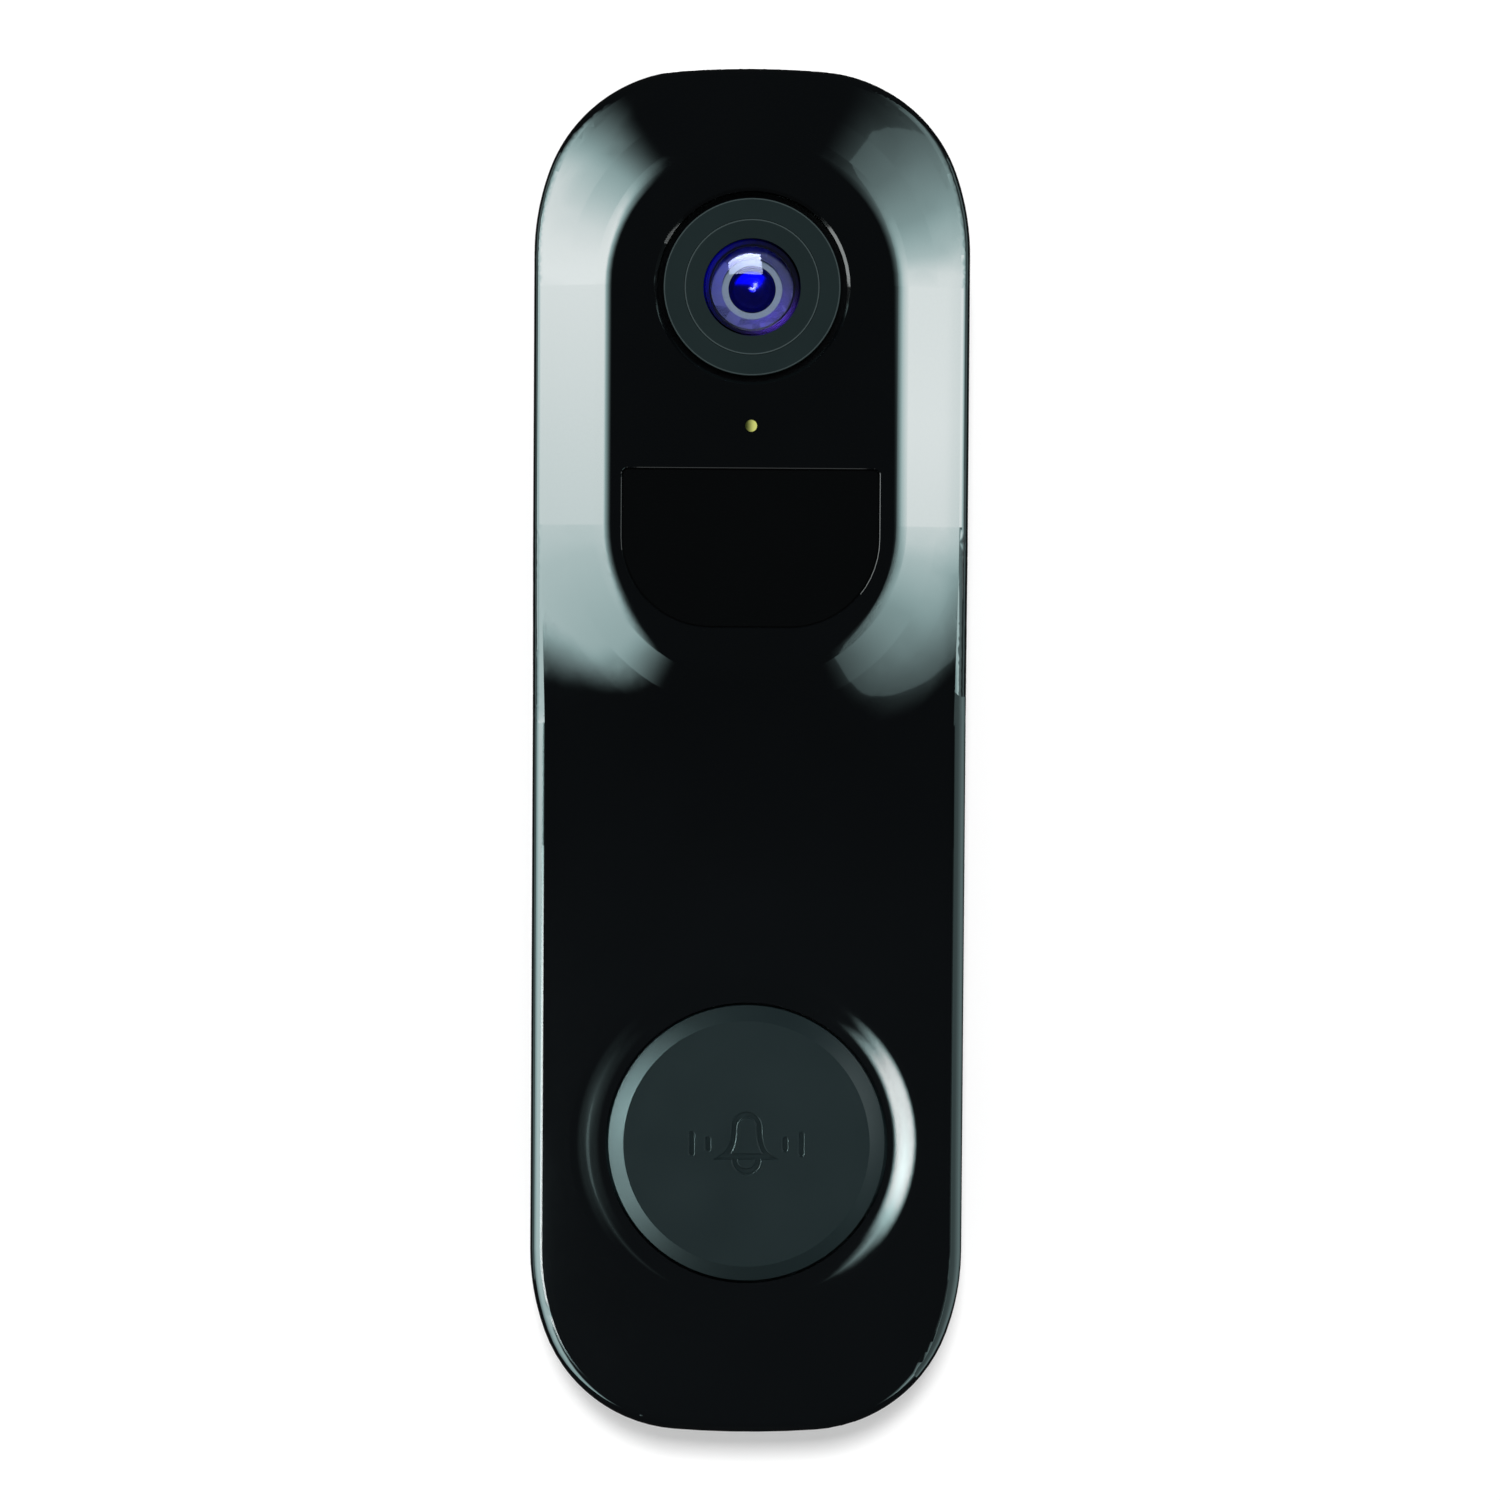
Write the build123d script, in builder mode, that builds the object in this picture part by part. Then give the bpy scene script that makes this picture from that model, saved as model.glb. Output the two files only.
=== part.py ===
"""Battery video doorbell on its wall plate.

The frame: X to the right, Z up, and the wall in the plane y = 0. The doorbell is in front of it, towards -Y.
The origin is the centre of the wall plate's back face. A depth is a distance forward from the wall.
Names that end in _down are heights below the body's top, names that end in _up are above its bottom, and
names that end in _z are above its middle. All sizes are in millimetres.
"""
import os
from math import cos, radians, sin, tan

from build123d import *

os.makedirs("parts", exist_ok=True)

# ---------------------------------------------------------------- driving sizes

# Outline of the body: three tangent arcs to a quarter.
body_width = 44.5
body_height = 140.0
crown_radius = 100.0
crown_angle = 4.2
shoulder_radius = 25.0
shoulder_angle = 20.0

# Depths of the shells.
rim_gap = 0.8  # wall to the rear housing's rim
recess_depth = 3.7  # rear housing's rim to the floor of its back recess
floor_thickness = 1.6
split_depth = 9.5
panel_depth = 25.0  # the flat lower front
side_wall = 2.0
front_wall = 2.0
rear_rim_wall = 2.4
front_edge_radius = 1.3
rear_edge_radius = 0.8

# Camera pod: a flat stadium raised on a slope.
pod_radius = 15.05
pod_top_down = 22.3  # centre of its round upper end
pod_bottom_down = 46.6  # centre of its round lower end
pod_rise = 3.2
pod_slope = 20.0
pod_rim_radius = 5.0
pod_foot_radius = 30.0

# Joint between the shells.
tongue_height = 1.2
seal_height = 0.5
seam_clearance = 0.06

# General clearances.
slip = 0.3  # beside pieces that move past each other
fit = 0.1  # beside pieces that are only put together
running = 0.05  # round a shaft in its bore

tolerance = 0.01  # for telling faces and edges apart

# Wall plate.
plate_thickness = 2.6
plate_gap = 0.3  # plate edge to the rear housing's rim wall
lift = 5.0  # travel of the unit up off the hooks
wall_screw_inset = 16.0
wall_screw_radius = 2.1
wall_screw_head_radius = 4.0
cable_window = (20.0, 19.0)
cable_window_corner = 3.0
cable_window_down = 34.5
hook_x = 9.0
hook_upper_down = 20.0
hook_lower_up = 24.0
hook_width = 5.0
hook_stem = 2.4
hook_catch = 3.5
hook_head = 1.4
hook_back_gap = 0.2
pocket_wall = 1.2

# Lug under the unit and the security screw that comes up through it.
lug_width = 8.0
lug_thickness = 2.3
lug_up = 0.5
lug_depth = 7.4
security_depth = 5.0
security_radius = 1.0
security_head_radius = 1.9
security_head = 1.2
security_length = 8.5
security_boss_width = 6.4
security_boss_length = 8.9

# Screws of the housing, two above and two below.
housing_upper_x = 14.0
housing_upper_down = 10.0
housing_lower_x = 16.6
housing_lower_up = 18.0
housing_boss_radius = 2.8
housing_screw_radius = 0.95
housing_screw_head_radius = 1.9
housing_screw_head = 1.3
housing_screw_length = 9.0

# Main board.
board_width = 35.0
board_top_down = 33.0
board_bottom_up = 13.0
board_depth = 16.2
board_thickness = 1.2
board_corner = 1.5
board_screw_x = 14.5
board_screw_heights = (5.0, -15.0)  # above the middle
board_boss_radius = 2.2
board_screw_radius = 0.95
board_screw_head_radius = 1.8
board_screw_head = 1.2
board_screw_length = 5.0

# Battery.
battery_width = 34.0
battery_top_down = 43.0
battery_bottom_up = 35.0
battery_thickness = 8.0
battery_corner = 2.5
battery_edge = 0.6
pad_thickness = 0.3
pad_share = 0.8  # of the battery's width and height
pad_corner = 1.0
lead_radius = 0.5
lead_bend = 2.4
lead_x = -12.0
lead_spacing = 2.2
connector_size = (6.0, 4.0, 3.0)
connector_corner = 0.3
connector_inset = 3.0  # board's top to the connector

# Camera.
camera_down = 22.4
camera_bore_radius = 9.65
camera_bore_chamfer = 0.3
trim_radius = 9.0
trim_face_radius = 8.9
trim_sink = 0.7
trim_thickness = 2.5
trim_flange_radius = 11.2
trim_flange = 1.2
bezel_radius = 6.85
bezel_opening_radius = 4.95
bezel_lip = 0.9
bezel_slope_drop = 0.35
bezel_length = 6.0
bezel_flange_radius = 7.8
bezel_flange = 0.8
barrel_radius = 6.2
barrel_head = 5.0
barrel_thread_radius = 5.0
barrel_length = 11.0
front_bore_radius = 4.75
retaining_ring_radius = 4.2
retaining_ring_rise = 0.4
retaining_ring_edge = 0.2
front_lens_curve = 9.0
front_lens_edge = 1.15
second_lens_radius = 3.1
second_lens_face_radius = 2.4
second_lens_curve = 5.0
second_lens_edge = 1.2
spacer_thickness = 1.3
stop_radius = 1.1
stop_thickness = 0.3
rear_lens_radius = 2.6
rear_lens_face_radius = 2.34
rear_lens_inset = 1.0  # barrel's back end to the glass
rear_lens_thickness = 2.0
rear_lens_curve = 4.5
holder_collar_radius = 6.4
holder_collar = 4.3
holder_size = (19.0, 15.0)
holder_corner = 1.0
holder_base = 3.4
holder_wall = 1.0
holder_roof = 1.2
ear_thickness = 1.2
camera_board_depth = 11.6
camera_board_size = (30.0, 18.0)
camera_board_thickness = 1.2
camera_screw_x = 12.5
camera_screw_z = 6.0
camera_boss_radius = 2.2
camera_screw_radius = 0.95
camera_screw_head_radius = 1.8
camera_screw_head = 1.3
camera_screw_length = 6.5
sensor_size = (7.0, 6.5)
sensor_thickness = 0.9
filter_window = 4.4
filter_pitch = 4.8
filter_frame = 0.5
filter_corner = 0.6
filter_thickness = 0.9
filter_rail = 0.1
filter_glass_thickness = 0.5
ribbon_width = 7.0
ribbon_thickness = 0.16
ribbon_overlap = 2.0
ribbon_bend = 0.9
led_board_outer_radius = 10.6
led_board_thickness = 0.8
led_count = 6
led_circle_radius = 8.8
led_first_angle = 30.0
led_radius = 0.9
led_height = 1.5

# Motion sensor.
window_width = 25.8
window_top_down = 41.0
window_height = 15.8
window_top_radius = 0.4
window_bottom_radius = 8.9
window_gap = 0.12
window_chamfer = 0.14
window_sink = 0.05
window_flange = 1.0
window_flange_thickness = 0.8
pir_below_window_top = 8.4
pir_can_radius = 4.1
pir_can_height = 4.2
pir_can_edge = 0.4
pir_base_radius = 4.6
pir_base = 0.6
pir_pane = (4.0, 3.0)
pir_pane_sink = 0.3
shroud_mouth = (22.0, 13.0)
shroud_foot = (11.5, 11.5)
shroud_wall = 0.8

# Status light.
status_down = 36.5
status_pipe_radius = 0.6
status_collar_radius = 1.1
status_collar = 1.0
status_led_size = (1.6, 0.8, 0.6)
status_led_gap = 0.1

# Button.
button_up = 30.05
button_radius = 14.2
button_face_radius = 12.65
button_bevel_drop = 0.9
button_proud = 0.45
button_plate = 2.0
button_skirt_wall = 1.4
button_travel = 0.6
button_flange_radius = 15.6
button_flange = 0.75
dish_radius = 18.2
dish_slope = 12.5  # where it is steepest, halfway in
collar_thickness = 2.0
collar_radius = 17.2
collar_gap = 0.05
button_post_radius = 1.5
gasket_radii = (12.4, 15.4)
gasket_thickness = 0.7
retainer_radius = 16.2
retainer_hole_radius = 4.8
retainer_thickness = 1.0
retainer_screw_circle = 18.2
retainer_screw_angles = (30.0, 150.0, 270.0)
retainer_ear_radius = 2.2
retainer_boss_radius = 1.9
retainer_screw_radius = 0.75
retainer_screw_head_radius = 1.6
retainer_screw_head = 1.0
retainer_screw_length = 4.0
switch_size = 6.0
switch_height = 3.5
switch_corner = 0.4
plunger_radius = 1.75
plunger_bite = 0.3
plunger_rise = 0.5

# Bell mark engraved in the button.
mark_depth = 0.22
mark_line = 0.5
mark_edge = 0.09  # chamfer along the lines
bell_height = 4.3
bell_mouth = 4.7
bell_dome = 2.6
bell_top = 3.0
bell_waist = 0.12  # how far the side has flared at its middle
bell_lip_run = (0.9, -0.6)  # direction of the side at the mouth
clapper_radius = 1.2
clapper_drop = 0.35  # mouth to the centre of the clapper's arc
mark_bars = ((3.95, 1.45), (5.63, 2.45))

# Sound.
grille_slots = 5
grille_pitch = 2.4
grille_slot = (1.2, 7.0)
sound_depth = 16.7
sound_seat_up = 4.0
sound_seat_width = 25.0
speaker_size = (15.5, 11.0)
speaker_corner = 1.0
speaker_frame = 1.8
speaker_magnet = (11.0, 7.0, 2.8)
speaker_cone_size = (12.5, 8.0)
speaker_cone_thickness = 0.5
speaker_cone_sink = 0.3
speaker_gasket_thickness = 0.6
microphone_x = -10.8
microphone_port_radius = 0.6
boot_radius = 1.7
boot_height = 2.8
microphone_size = (3.0, 3.8, 1.1)
audio_lead_radius = 0.35
audio_lead_spacing = 1.4

# USB port in the right-hand side.
port_z = -5.0
port_hole = (10.2, 4.4)
port_recess_depth = 1.0
port_cover_size = (14.0, 6.8)
port_cover_gap = 0.2
port_cover_corner = 1.6
port_plug_reach = 0.85
usb_size = (9.0, 3.2, 7.3)
usb_wall = 0.35
usb_mouth_gap = 0.25
usb_tongue = (6.7, 0.7)

# Reset key in the back.
reset_inset = 7.25  # from the body's right-hand side
reset_radius = 2.2
reset_sink = 0.2
reset_flange_radius = 2.95
reset_flange = 0.8
reset_stem_radius = 1.2
reset_tip_radius = 0.8
reset_tip_reach = 0.3
reset_travel = 0.4
reset_guide_wall = 0.8
reset_guide = 2.4
reset_switch_size = 4.5
reset_switch_height = 1.8
reset_switch_corner = 0.3

# Terminals for wired power.
terminal_down = 36.0
terminal_window = (18.0, 9.0)
terminal_window_corner = 0.5
terminal_corner = 0.4
terminal_flange = 1.3
terminal_flange_edge = 1.2
terminal_front = 10.0
terminal_back = 5.0
terminal_spacing = 11.0
terminal_screw_radius = 1.45
terminal_screw_head_radius = 2.7
terminal_screw_head = 1.7
terminal_screw_length = 4.0
pin_radius = 0.5
pin_proud = 0.6

# Small parts on the board: x, height above the middle, width, height, thickness.
shield_box = (-3.5, -4.0, 16.0, 16.0, 2.0)
shield_corner = 0.5
shield_edge = 0.3
front_chips = ((8.5, 5.0, 5.0, 5.0, 0.9), (8.0, -15.5, 5.5, 4.0, 1.0), (-10.5, -18.5, 4.0, 3.0, 0.8))
coil_place = (13.0, 4.0)  # x, and below the board's top
coil_size = (3.0, 3.0)
coil_thickness = 1.4
antenna_x = -16.6
antenna_z = -5.0
antenna_size = (13.0, 4.4)
antenna_sheet = 0.3
antenna_leg = 1.2
antenna_leg_spacing = 3.0

# ---------------------------------------------------------------- derived places

half_width = body_width / 2
half_height = body_height / 2
floor_back = rim_gap + recess_depth
floor_front = floor_back + floor_thickness
plateau_depth = panel_depth + pod_rise
board_front = board_depth + board_thickness
pod_middle = half_height - (pod_top_down + pod_bottom_down) / 2
pod_spacing = pod_bottom_down - pod_top_down
camera_z = half_height - camera_down
status_z = half_height - status_down
window_top = half_height - window_top_down
window_bottom = window_top - window_height
pir_z = window_top - pir_below_window_top
button_z = button_up - half_height
terminal_z = half_height - terminal_down
cable_window_z = half_height - cable_window_down
reset_x = half_width - reset_inset
board_top = half_height - board_top_down
board_bottom = board_bottom_up - half_height
battery_top = half_height - battery_top_down
battery_height = battery_top + half_height - battery_bottom_up
battery_z = battery_top - battery_height / 2
sound_seat_z = sound_seat_up - half_height
port_depth = board_front + usb_size[1] / 2

crown_z = half_height - crown_radius
crown_end_x = crown_radius * sin(radians(crown_angle))
crown_end_z = crown_z + crown_radius * cos(radians(crown_angle))
shoulder_x = half_width - shoulder_radius
shoulder_end_x = shoulder_x + shoulder_radius * cos(radians(shoulder_angle))
corner_radius = (shoulder_end_x - crown_end_x) / (cos(radians(shoulder_angle)) - sin(radians(crown_angle)))
corner_x = crown_end_x - corner_radius * sin(radians(crown_angle))
corner_z = crown_end_z - corner_radius * cos(radians(crown_angle))
shoulder_z = corner_z + (corner_radius - shoulder_radius) * sin(radians(shoulder_angle))

# ---------------------------------------------------------------- shared shapes


def facing(depth, raised=0.0):
    """Plane parallel to the wall at this depth, seen from the front: its axes are X and Z."""
    return Plane(origin=(0, -depth, raised), x_dir=(1, 0, 0), z_dir=(0, -1, 0))


def upward(height):
    """Level plane at this height, with X and the depth as its axes."""
    return Plane(origin=(0, 0, height), x_dir=(1, 0, 0), z_dir=(0, 0, -1))


def sideways(x):
    """Upright plane from wall to front at this x: its axes are the depth and Z, and it faces left."""
    return Plane(origin=(x, 0, 0), x_dir=(0, -1, 0), z_dir=(-1, 0, 0))


def slab(near, far, size, place=(0, 0), corner=0.0, mode=Mode.ADD):
    """Rectangular block between two depths."""
    with BuildSketch(facing(near)) as profile:
        with Locations(place):
            if corner:
                RectangleRounded(size[0], size[1], corner)
            else:
                Rectangle(size[0], size[1])
    extrude(profile.sketch, amount=far - near, mode=mode)


def disc(near, far, radius, place=(0, 0), bore=0.0, mode=Mode.ADD):
    """Round block, or ring, between two depths."""
    with BuildSketch(facing(near)) as profile:
        with Locations(place):
            Circle(radius)
            if bore:
                Circle(bore, mode=Mode.SUBTRACT)
    extrude(profile.sketch, amount=far - near, mode=mode)


def level_block(low, high, size, place, corner=0.0, mode=Mode.ADD):
    """Rectangular block between two heights, placed by its x and its depth."""
    with BuildSketch(upward(high)) as profile:
        with Locations(place):
            if corner:
                RectangleRounded(size[0], size[1], corner)
            else:
                Rectangle(size[0], size[1])
    extrude(profile.sketch, amount=high - low, mode=mode)


def level_disc(low, high, radius, place, mode=Mode.ADD):
    """Upright round block between two heights, placed by its x and its depth."""
    with BuildSketch(upward(high)) as profile:
        with Locations(place):
            Circle(radius)
    extrude(profile.sketch, amount=high - low, mode=mode)


def turned(corners, height, mode=Mode.ADD):
    """Solid turned about a forward axis at this height, from (radius, depth) corners."""
    with BuildSketch(upward(height)) as profile:
        with BuildLine():
            Polyline(*corners, close=True)
        make_face()
    revolve(profile.sketch, axis=Axis((0, 0, height), (0, -1, 0)), mode=mode)


def lens(outer, front, back, dome, curve):
    """Glass disc between two depths, with a convex cap over its middle."""
    rise = curve - (curve**2 - dome**2) ** 0.5
    with BuildSketch(upward(camera_z)) as profile:
        with BuildLine():
            ThreePointArc(
                (0, front + rise),
                (dome / 2, front + rise - curve + (curve**2 - dome**2 / 4) ** 0.5),
                (dome, front),
            )
            Polyline((dome, front), (outer, front), (outer, back), (0, back), (0, front + rise))
        make_face()
    revolve(profile.sketch, axis=Axis((0, 0, camera_z), (0, -1, 0)))


def screw(head_back, head_front, tip, head_radius, shank_radius, place):
    """Screw that points forward: pan head between two depths and a plain shank up to its tip."""
    disc(head_back, head_front, head_radius, place)
    disc(head_front, tip, shank_radius, place)
    recess = min(head_radius / 2, shank_radius)
    with BuildSketch(facing(head_back)) as drive:
        with Locations(place):
            RegularPolygon(recess, 6)
    extrude(drive.sketch, amount=(head_front - head_back) / 2, mode=Mode.SUBTRACT)


def body_profile(depth, inset=0.0, raised=0.0):
    """Face inside the body's outline, parallel to it at this inset."""
    with BuildSketch(facing(depth, raised)) as profile:
        with BuildLine():
            CenterArc((corner_x, corner_z), corner_radius - inset, shoulder_angle,
                      90 - crown_angle - shoulder_angle)
            CenterArc((shoulder_x, shoulder_z), shoulder_radius - inset, 0, shoulder_angle)
            mirror(about=Plane.YZ)
            CenterArc((0, crown_z), crown_radius - inset, 90 - crown_angle, 2 * crown_angle)
            mirror(about=Plane.XZ)
            for side in (-1, 1):
                x = side * (half_width - inset)
                Line((x, -shoulder_z), (x, shoulder_z))
        make_face()
    return profile.sketch


def front_form(lowered, foot_radius, rim_radius):
    """Block under the front surface, or under a surface this far below it: flat panel and raised pod."""
    run = pod_rise / tan(radians(pod_slope))
    with BuildPart() as form:
        slab(split_depth, panel_depth - lowered, (3 * body_width, 2 * body_height))
        with BuildSketch(facing(panel_depth - lowered)) as foot:
            with Locations((0, pod_middle)):
                SlotCenterToCenter(pod_spacing, 2 * (pod_radius + run), rotation=90)
        extrude(foot.sketch, amount=pod_rise, taper=90 - pod_slope)
        rim = form.edges().group_by(Axis.Y)[0]
        fillet(rim, rim_radius)
        if foot_radius:
            # The foot's edges lie in the panel, well inside the block's own.
            panel_y = lowered - panel_depth
            level = form.edges().filter_by(lambda edge: abs(edge.center().Y - panel_y) < tolerance)
            foot_edges = level.filter_by(lambda edge: abs(edge.center().X) < body_width and
                                         abs(edge.center().Z) < body_height * 0.75)
            fillet(foot_edges, foot_radius)
    return form.part


def window_profile(depth, grow=0.0):
    """Outline of the motion-sensor window: nearly square above and round below."""
    half = window_width / 2 + grow
    top = window_top + grow
    bottom = window_bottom - grow
    upper = window_top_radius + grow
    lower = window_bottom_radius + grow
    with BuildSketch(facing(depth)) as profile:
        with BuildLine():
            Line((-half + lower, bottom), (half - lower, bottom))
            CenterArc((half - lower, bottom + lower), lower, -90, 90)
            Line((half, bottom + lower), (half, top - upper))
            CenterArc((half - upper, top - upper), upper, 0, 90)
            Line((half - upper, top), (-half + upper, top))
            CenterArc((-half + upper, top - upper), upper, 90, 90)
            Line((-half, top - upper), (-half, bottom + lower))
            CenterArc((-half + lower, bottom + lower), lower, 180, 90)
        make_face()
    return profile.sketch


def both_sides(places):
    """The given (x, z) places and their mirror images to the left."""
    return [(side * x, z) for x, z in places for side in (1, -1)]


def finish(builder, name):
    """Name a finished piece and write it."""
    builder.part.label = name
    export_step(builder.part, f"parts/{name}.step")


housing_screws_at = both_sides([(housing_upper_x, half_height - housing_upper_down),
                                (housing_lower_x, housing_lower_up - half_height)])
board_screws_at = both_sides([(board_screw_x, z) for z in board_screw_heights])
camera_screws_at = [(camera_screw_x, camera_z - camera_screw_z), (-camera_screw_x, camera_z + camera_screw_z)]
retainer_screws_at = [
    (retainer_screw_circle * cos(radians(angle)), button_z + retainer_screw_circle * sin(radians(angle)))
    for angle in retainer_screw_angles
]
hooks_at = both_sides([(hook_x, half_height - hook_upper_down), (hook_x, hook_lower_up - half_height)])

# ---------------------------------------------------------------- wall plate

lug_low = lug_up - half_height
lug_high = lug_low + lug_thickness
plate_edge = rear_rim_wall + plate_gap

with BuildPart() as wall_plate:
    extrude(body_profile(0, plate_edge), amount=plate_thickness)
    extrude(body_profile(0, plate_edge, lift), amount=plate_thickness, mode=Mode.INTERSECT)
    slab(0, plate_thickness, cable_window, (0, cable_window_z), cable_window_corner, Mode.SUBTRACT)
    tongue_top = -half_height + plate_edge + lift + lug_thickness
    slab(0, plate_thickness, (lug_width, tongue_top - lug_low), (0, (tongue_top + lug_low) / 2))
    slab(0, lug_depth, (lug_width, lug_thickness), (0, (lug_low + lug_high) / 2))
    level_disc(lug_low, lug_high, security_radius + fit, (0, security_depth), Mode.SUBTRACT)
    level_disc(lug_low, lug_low + security_head, security_head_radius + fit, (0, security_depth),
               Mode.SUBTRACT)
    for x, z in hooks_at:
        head_far = floor_front + hook_back_gap + hook_head
        slab(plate_thickness, head_far, (hook_width, hook_stem), (x, z))
        slab(head_far - hook_head, head_far, (hook_width, hook_stem + hook_catch), (x, z + hook_catch / 2))
    with Locations(facing(plate_thickness)):
        with Locations((0, half_height - wall_screw_inset), (0, wall_screw_inset - half_height)):
            CounterSinkHole(wall_screw_radius, wall_screw_head_radius, counter_sink_angle=90)

finish(wall_plate, "wall_plate")

security_top = lug_low + security_head
with BuildPart() as security_screw:
    level_disc(lug_low, security_top, security_head_radius, (0, security_depth))
    level_disc(security_top, security_top + security_length, security_radius, (0, security_depth))
    with BuildSketch(upward(lug_low)) as star:
        with Locations((0, security_depth)):
            RegularPolygon(security_radius, 6)
            RegularPolygon(security_radius, 6, rotation=30)
            Circle(security_radius / 4, mode=Mode.SUBTRACT)
    extrude(star.sketch, amount=-security_head / 2, mode=Mode.SUBTRACT)

finish(security_screw, "security_screw")

# ---------------------------------------------------------------- rear housing

security_boss_low = lug_high + slip
hook_low = hook_stem / 2 + lift + slip
hook_high = hook_stem / 2 + hook_catch + slip

with BuildPart() as rear_housing:
    extrude(body_profile(rim_gap), amount=split_depth - rim_gap)
    fillet(rear_housing.faces().sort_by(Axis.Y)[-1].edges(), rear_edge_radius)
    extrude(body_profile(floor_front, side_wall), amount=split_depth - floor_front, mode=Mode.SUBTRACT)
    extrude(body_profile(rim_gap, rear_rim_wall), amount=recess_depth, mode=Mode.SUBTRACT)
    # Tongue that enters the front housing.
    extrude(body_profile(split_depth, side_wall / 2), amount=tongue_height)
    extrude(body_profile(split_depth, side_wall), amount=tongue_height, mode=Mode.SUBTRACT)
    # Closed pockets over the hooks, each with a lip that the hook catches.
    for x, z in hooks_at:
        pocket_middle = z + (hook_high - hook_low) / 2
        pocket_width = hook_width + 2 * slip
        pocket_far = floor_front + hook_back_gap + hook_head + slip
        slab(floor_front, pocket_far + pocket_wall,
             (pocket_width + 2 * pocket_wall, hook_high + hook_low + 2 * pocket_wall), (x, pocket_middle))
        slab(floor_front, pocket_far, (pocket_width, hook_high + hook_low), (x, pocket_middle), 0,
             Mode.SUBTRACT)
        slot_high = hook_stem / 2 + seam_clearance
        slab(floor_back, floor_front, (pocket_width, slot_high + hook_low),
             (x, z + (slot_high - hook_low) / 2), 0, Mode.SUBTRACT)
    # Boss for the security screw, and the notch under it that the lug fills.
    level_block(security_boss_low, security_boss_low + security_boss_length,
                (security_boss_width, lug_depth - plate_thickness - slip),
                (0, (lug_depth + plate_thickness + slip) / 2))
    level_block(-half_height - slip, security_boss_low, (lug_width + 2 * slip, lug_depth + slip),
                (0, (lug_depth + slip) / 2), 0, Mode.SUBTRACT)
    level_disc(security_boss_low, security_top + security_length + slip, security_radius + running,
               (0, security_depth), Mode.SUBTRACT)
    # Screw posts with counterbores from behind.
    for place in housing_screws_at:
        disc(floor_front, split_depth, housing_boss_radius, place)
        disc(floor_back, split_depth, housing_screw_radius + fit, place, 0, Mode.SUBTRACT)
        disc(floor_back, floor_back + housing_screw_head, housing_screw_head_radius + fit, place, 0,
             Mode.SUBTRACT)
    # Window for the terminal block, and the reset key's hole with its guide.
    slab(floor_back, floor_front, terminal_window, (0, terminal_z), terminal_window_corner, Mode.SUBTRACT)
    disc(floor_front, floor_front + reset_guide, reset_flange_radius + fit + reset_guide_wall,
         (reset_x, terminal_z))
    disc(floor_front, floor_front + reset_guide, reset_flange_radius + fit, (reset_x, terminal_z), 0,
         Mode.SUBTRACT)
    disc(floor_back, floor_front, reset_radius + fit, (reset_x, terminal_z), 0, Mode.SUBTRACT)

finish(rear_housing, "rear_housing")

# ---------------------------------------------------------------- front housing

dish_inner = button_radius + slip
dish_run = (dish_radius - dish_inner) / 2
dish_depth = 2 * dish_run * tan(radians(dish_slope / 2))
collar_back = panel_depth - dish_depth - collar_thickness
retainer_front = collar_back - collar_gap - button_flange - button_travel - fit - gasket_thickness
trim_face = plateau_depth - trim_sink
wall_back = plateau_depth - front_wall
camera_boss_back = camera_board_depth + camera_board_thickness + ear_thickness

# Hollow of the front housing, less the bosses and seats that stand in it.
with BuildPart() as hollow:
    add(front_form(front_wall, 0, pod_rim_radius))
    extrude(body_profile(split_depth, side_wall), amount=plateau_depth, mode=Mode.INTERSECT)
    for place in housing_screws_at:
        disc(split_depth, plateau_depth, housing_boss_radius, place, 0, Mode.SUBTRACT)
    for place in board_screws_at:
        disc(board_front, plateau_depth, board_boss_radius, place, 0, Mode.SUBTRACT)
    for place in camera_screws_at:
        disc(camera_boss_back, plateau_depth, camera_boss_radius, place, 0, Mode.SUBTRACT)
    for place in retainer_screws_at:
        disc(retainer_front, plateau_depth, retainer_boss_radius, place, 0, Mode.SUBTRACT)
    disc(collar_back, plateau_depth, collar_radius, (0, button_z), 0, Mode.SUBTRACT)
    level_block(-half_height, sound_seat_z, (sound_seat_width, plateau_depth),
                (0, split_depth + tongue_height + seal_height + slip + plateau_depth / 2), 0, Mode.SUBTRACT)

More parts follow.
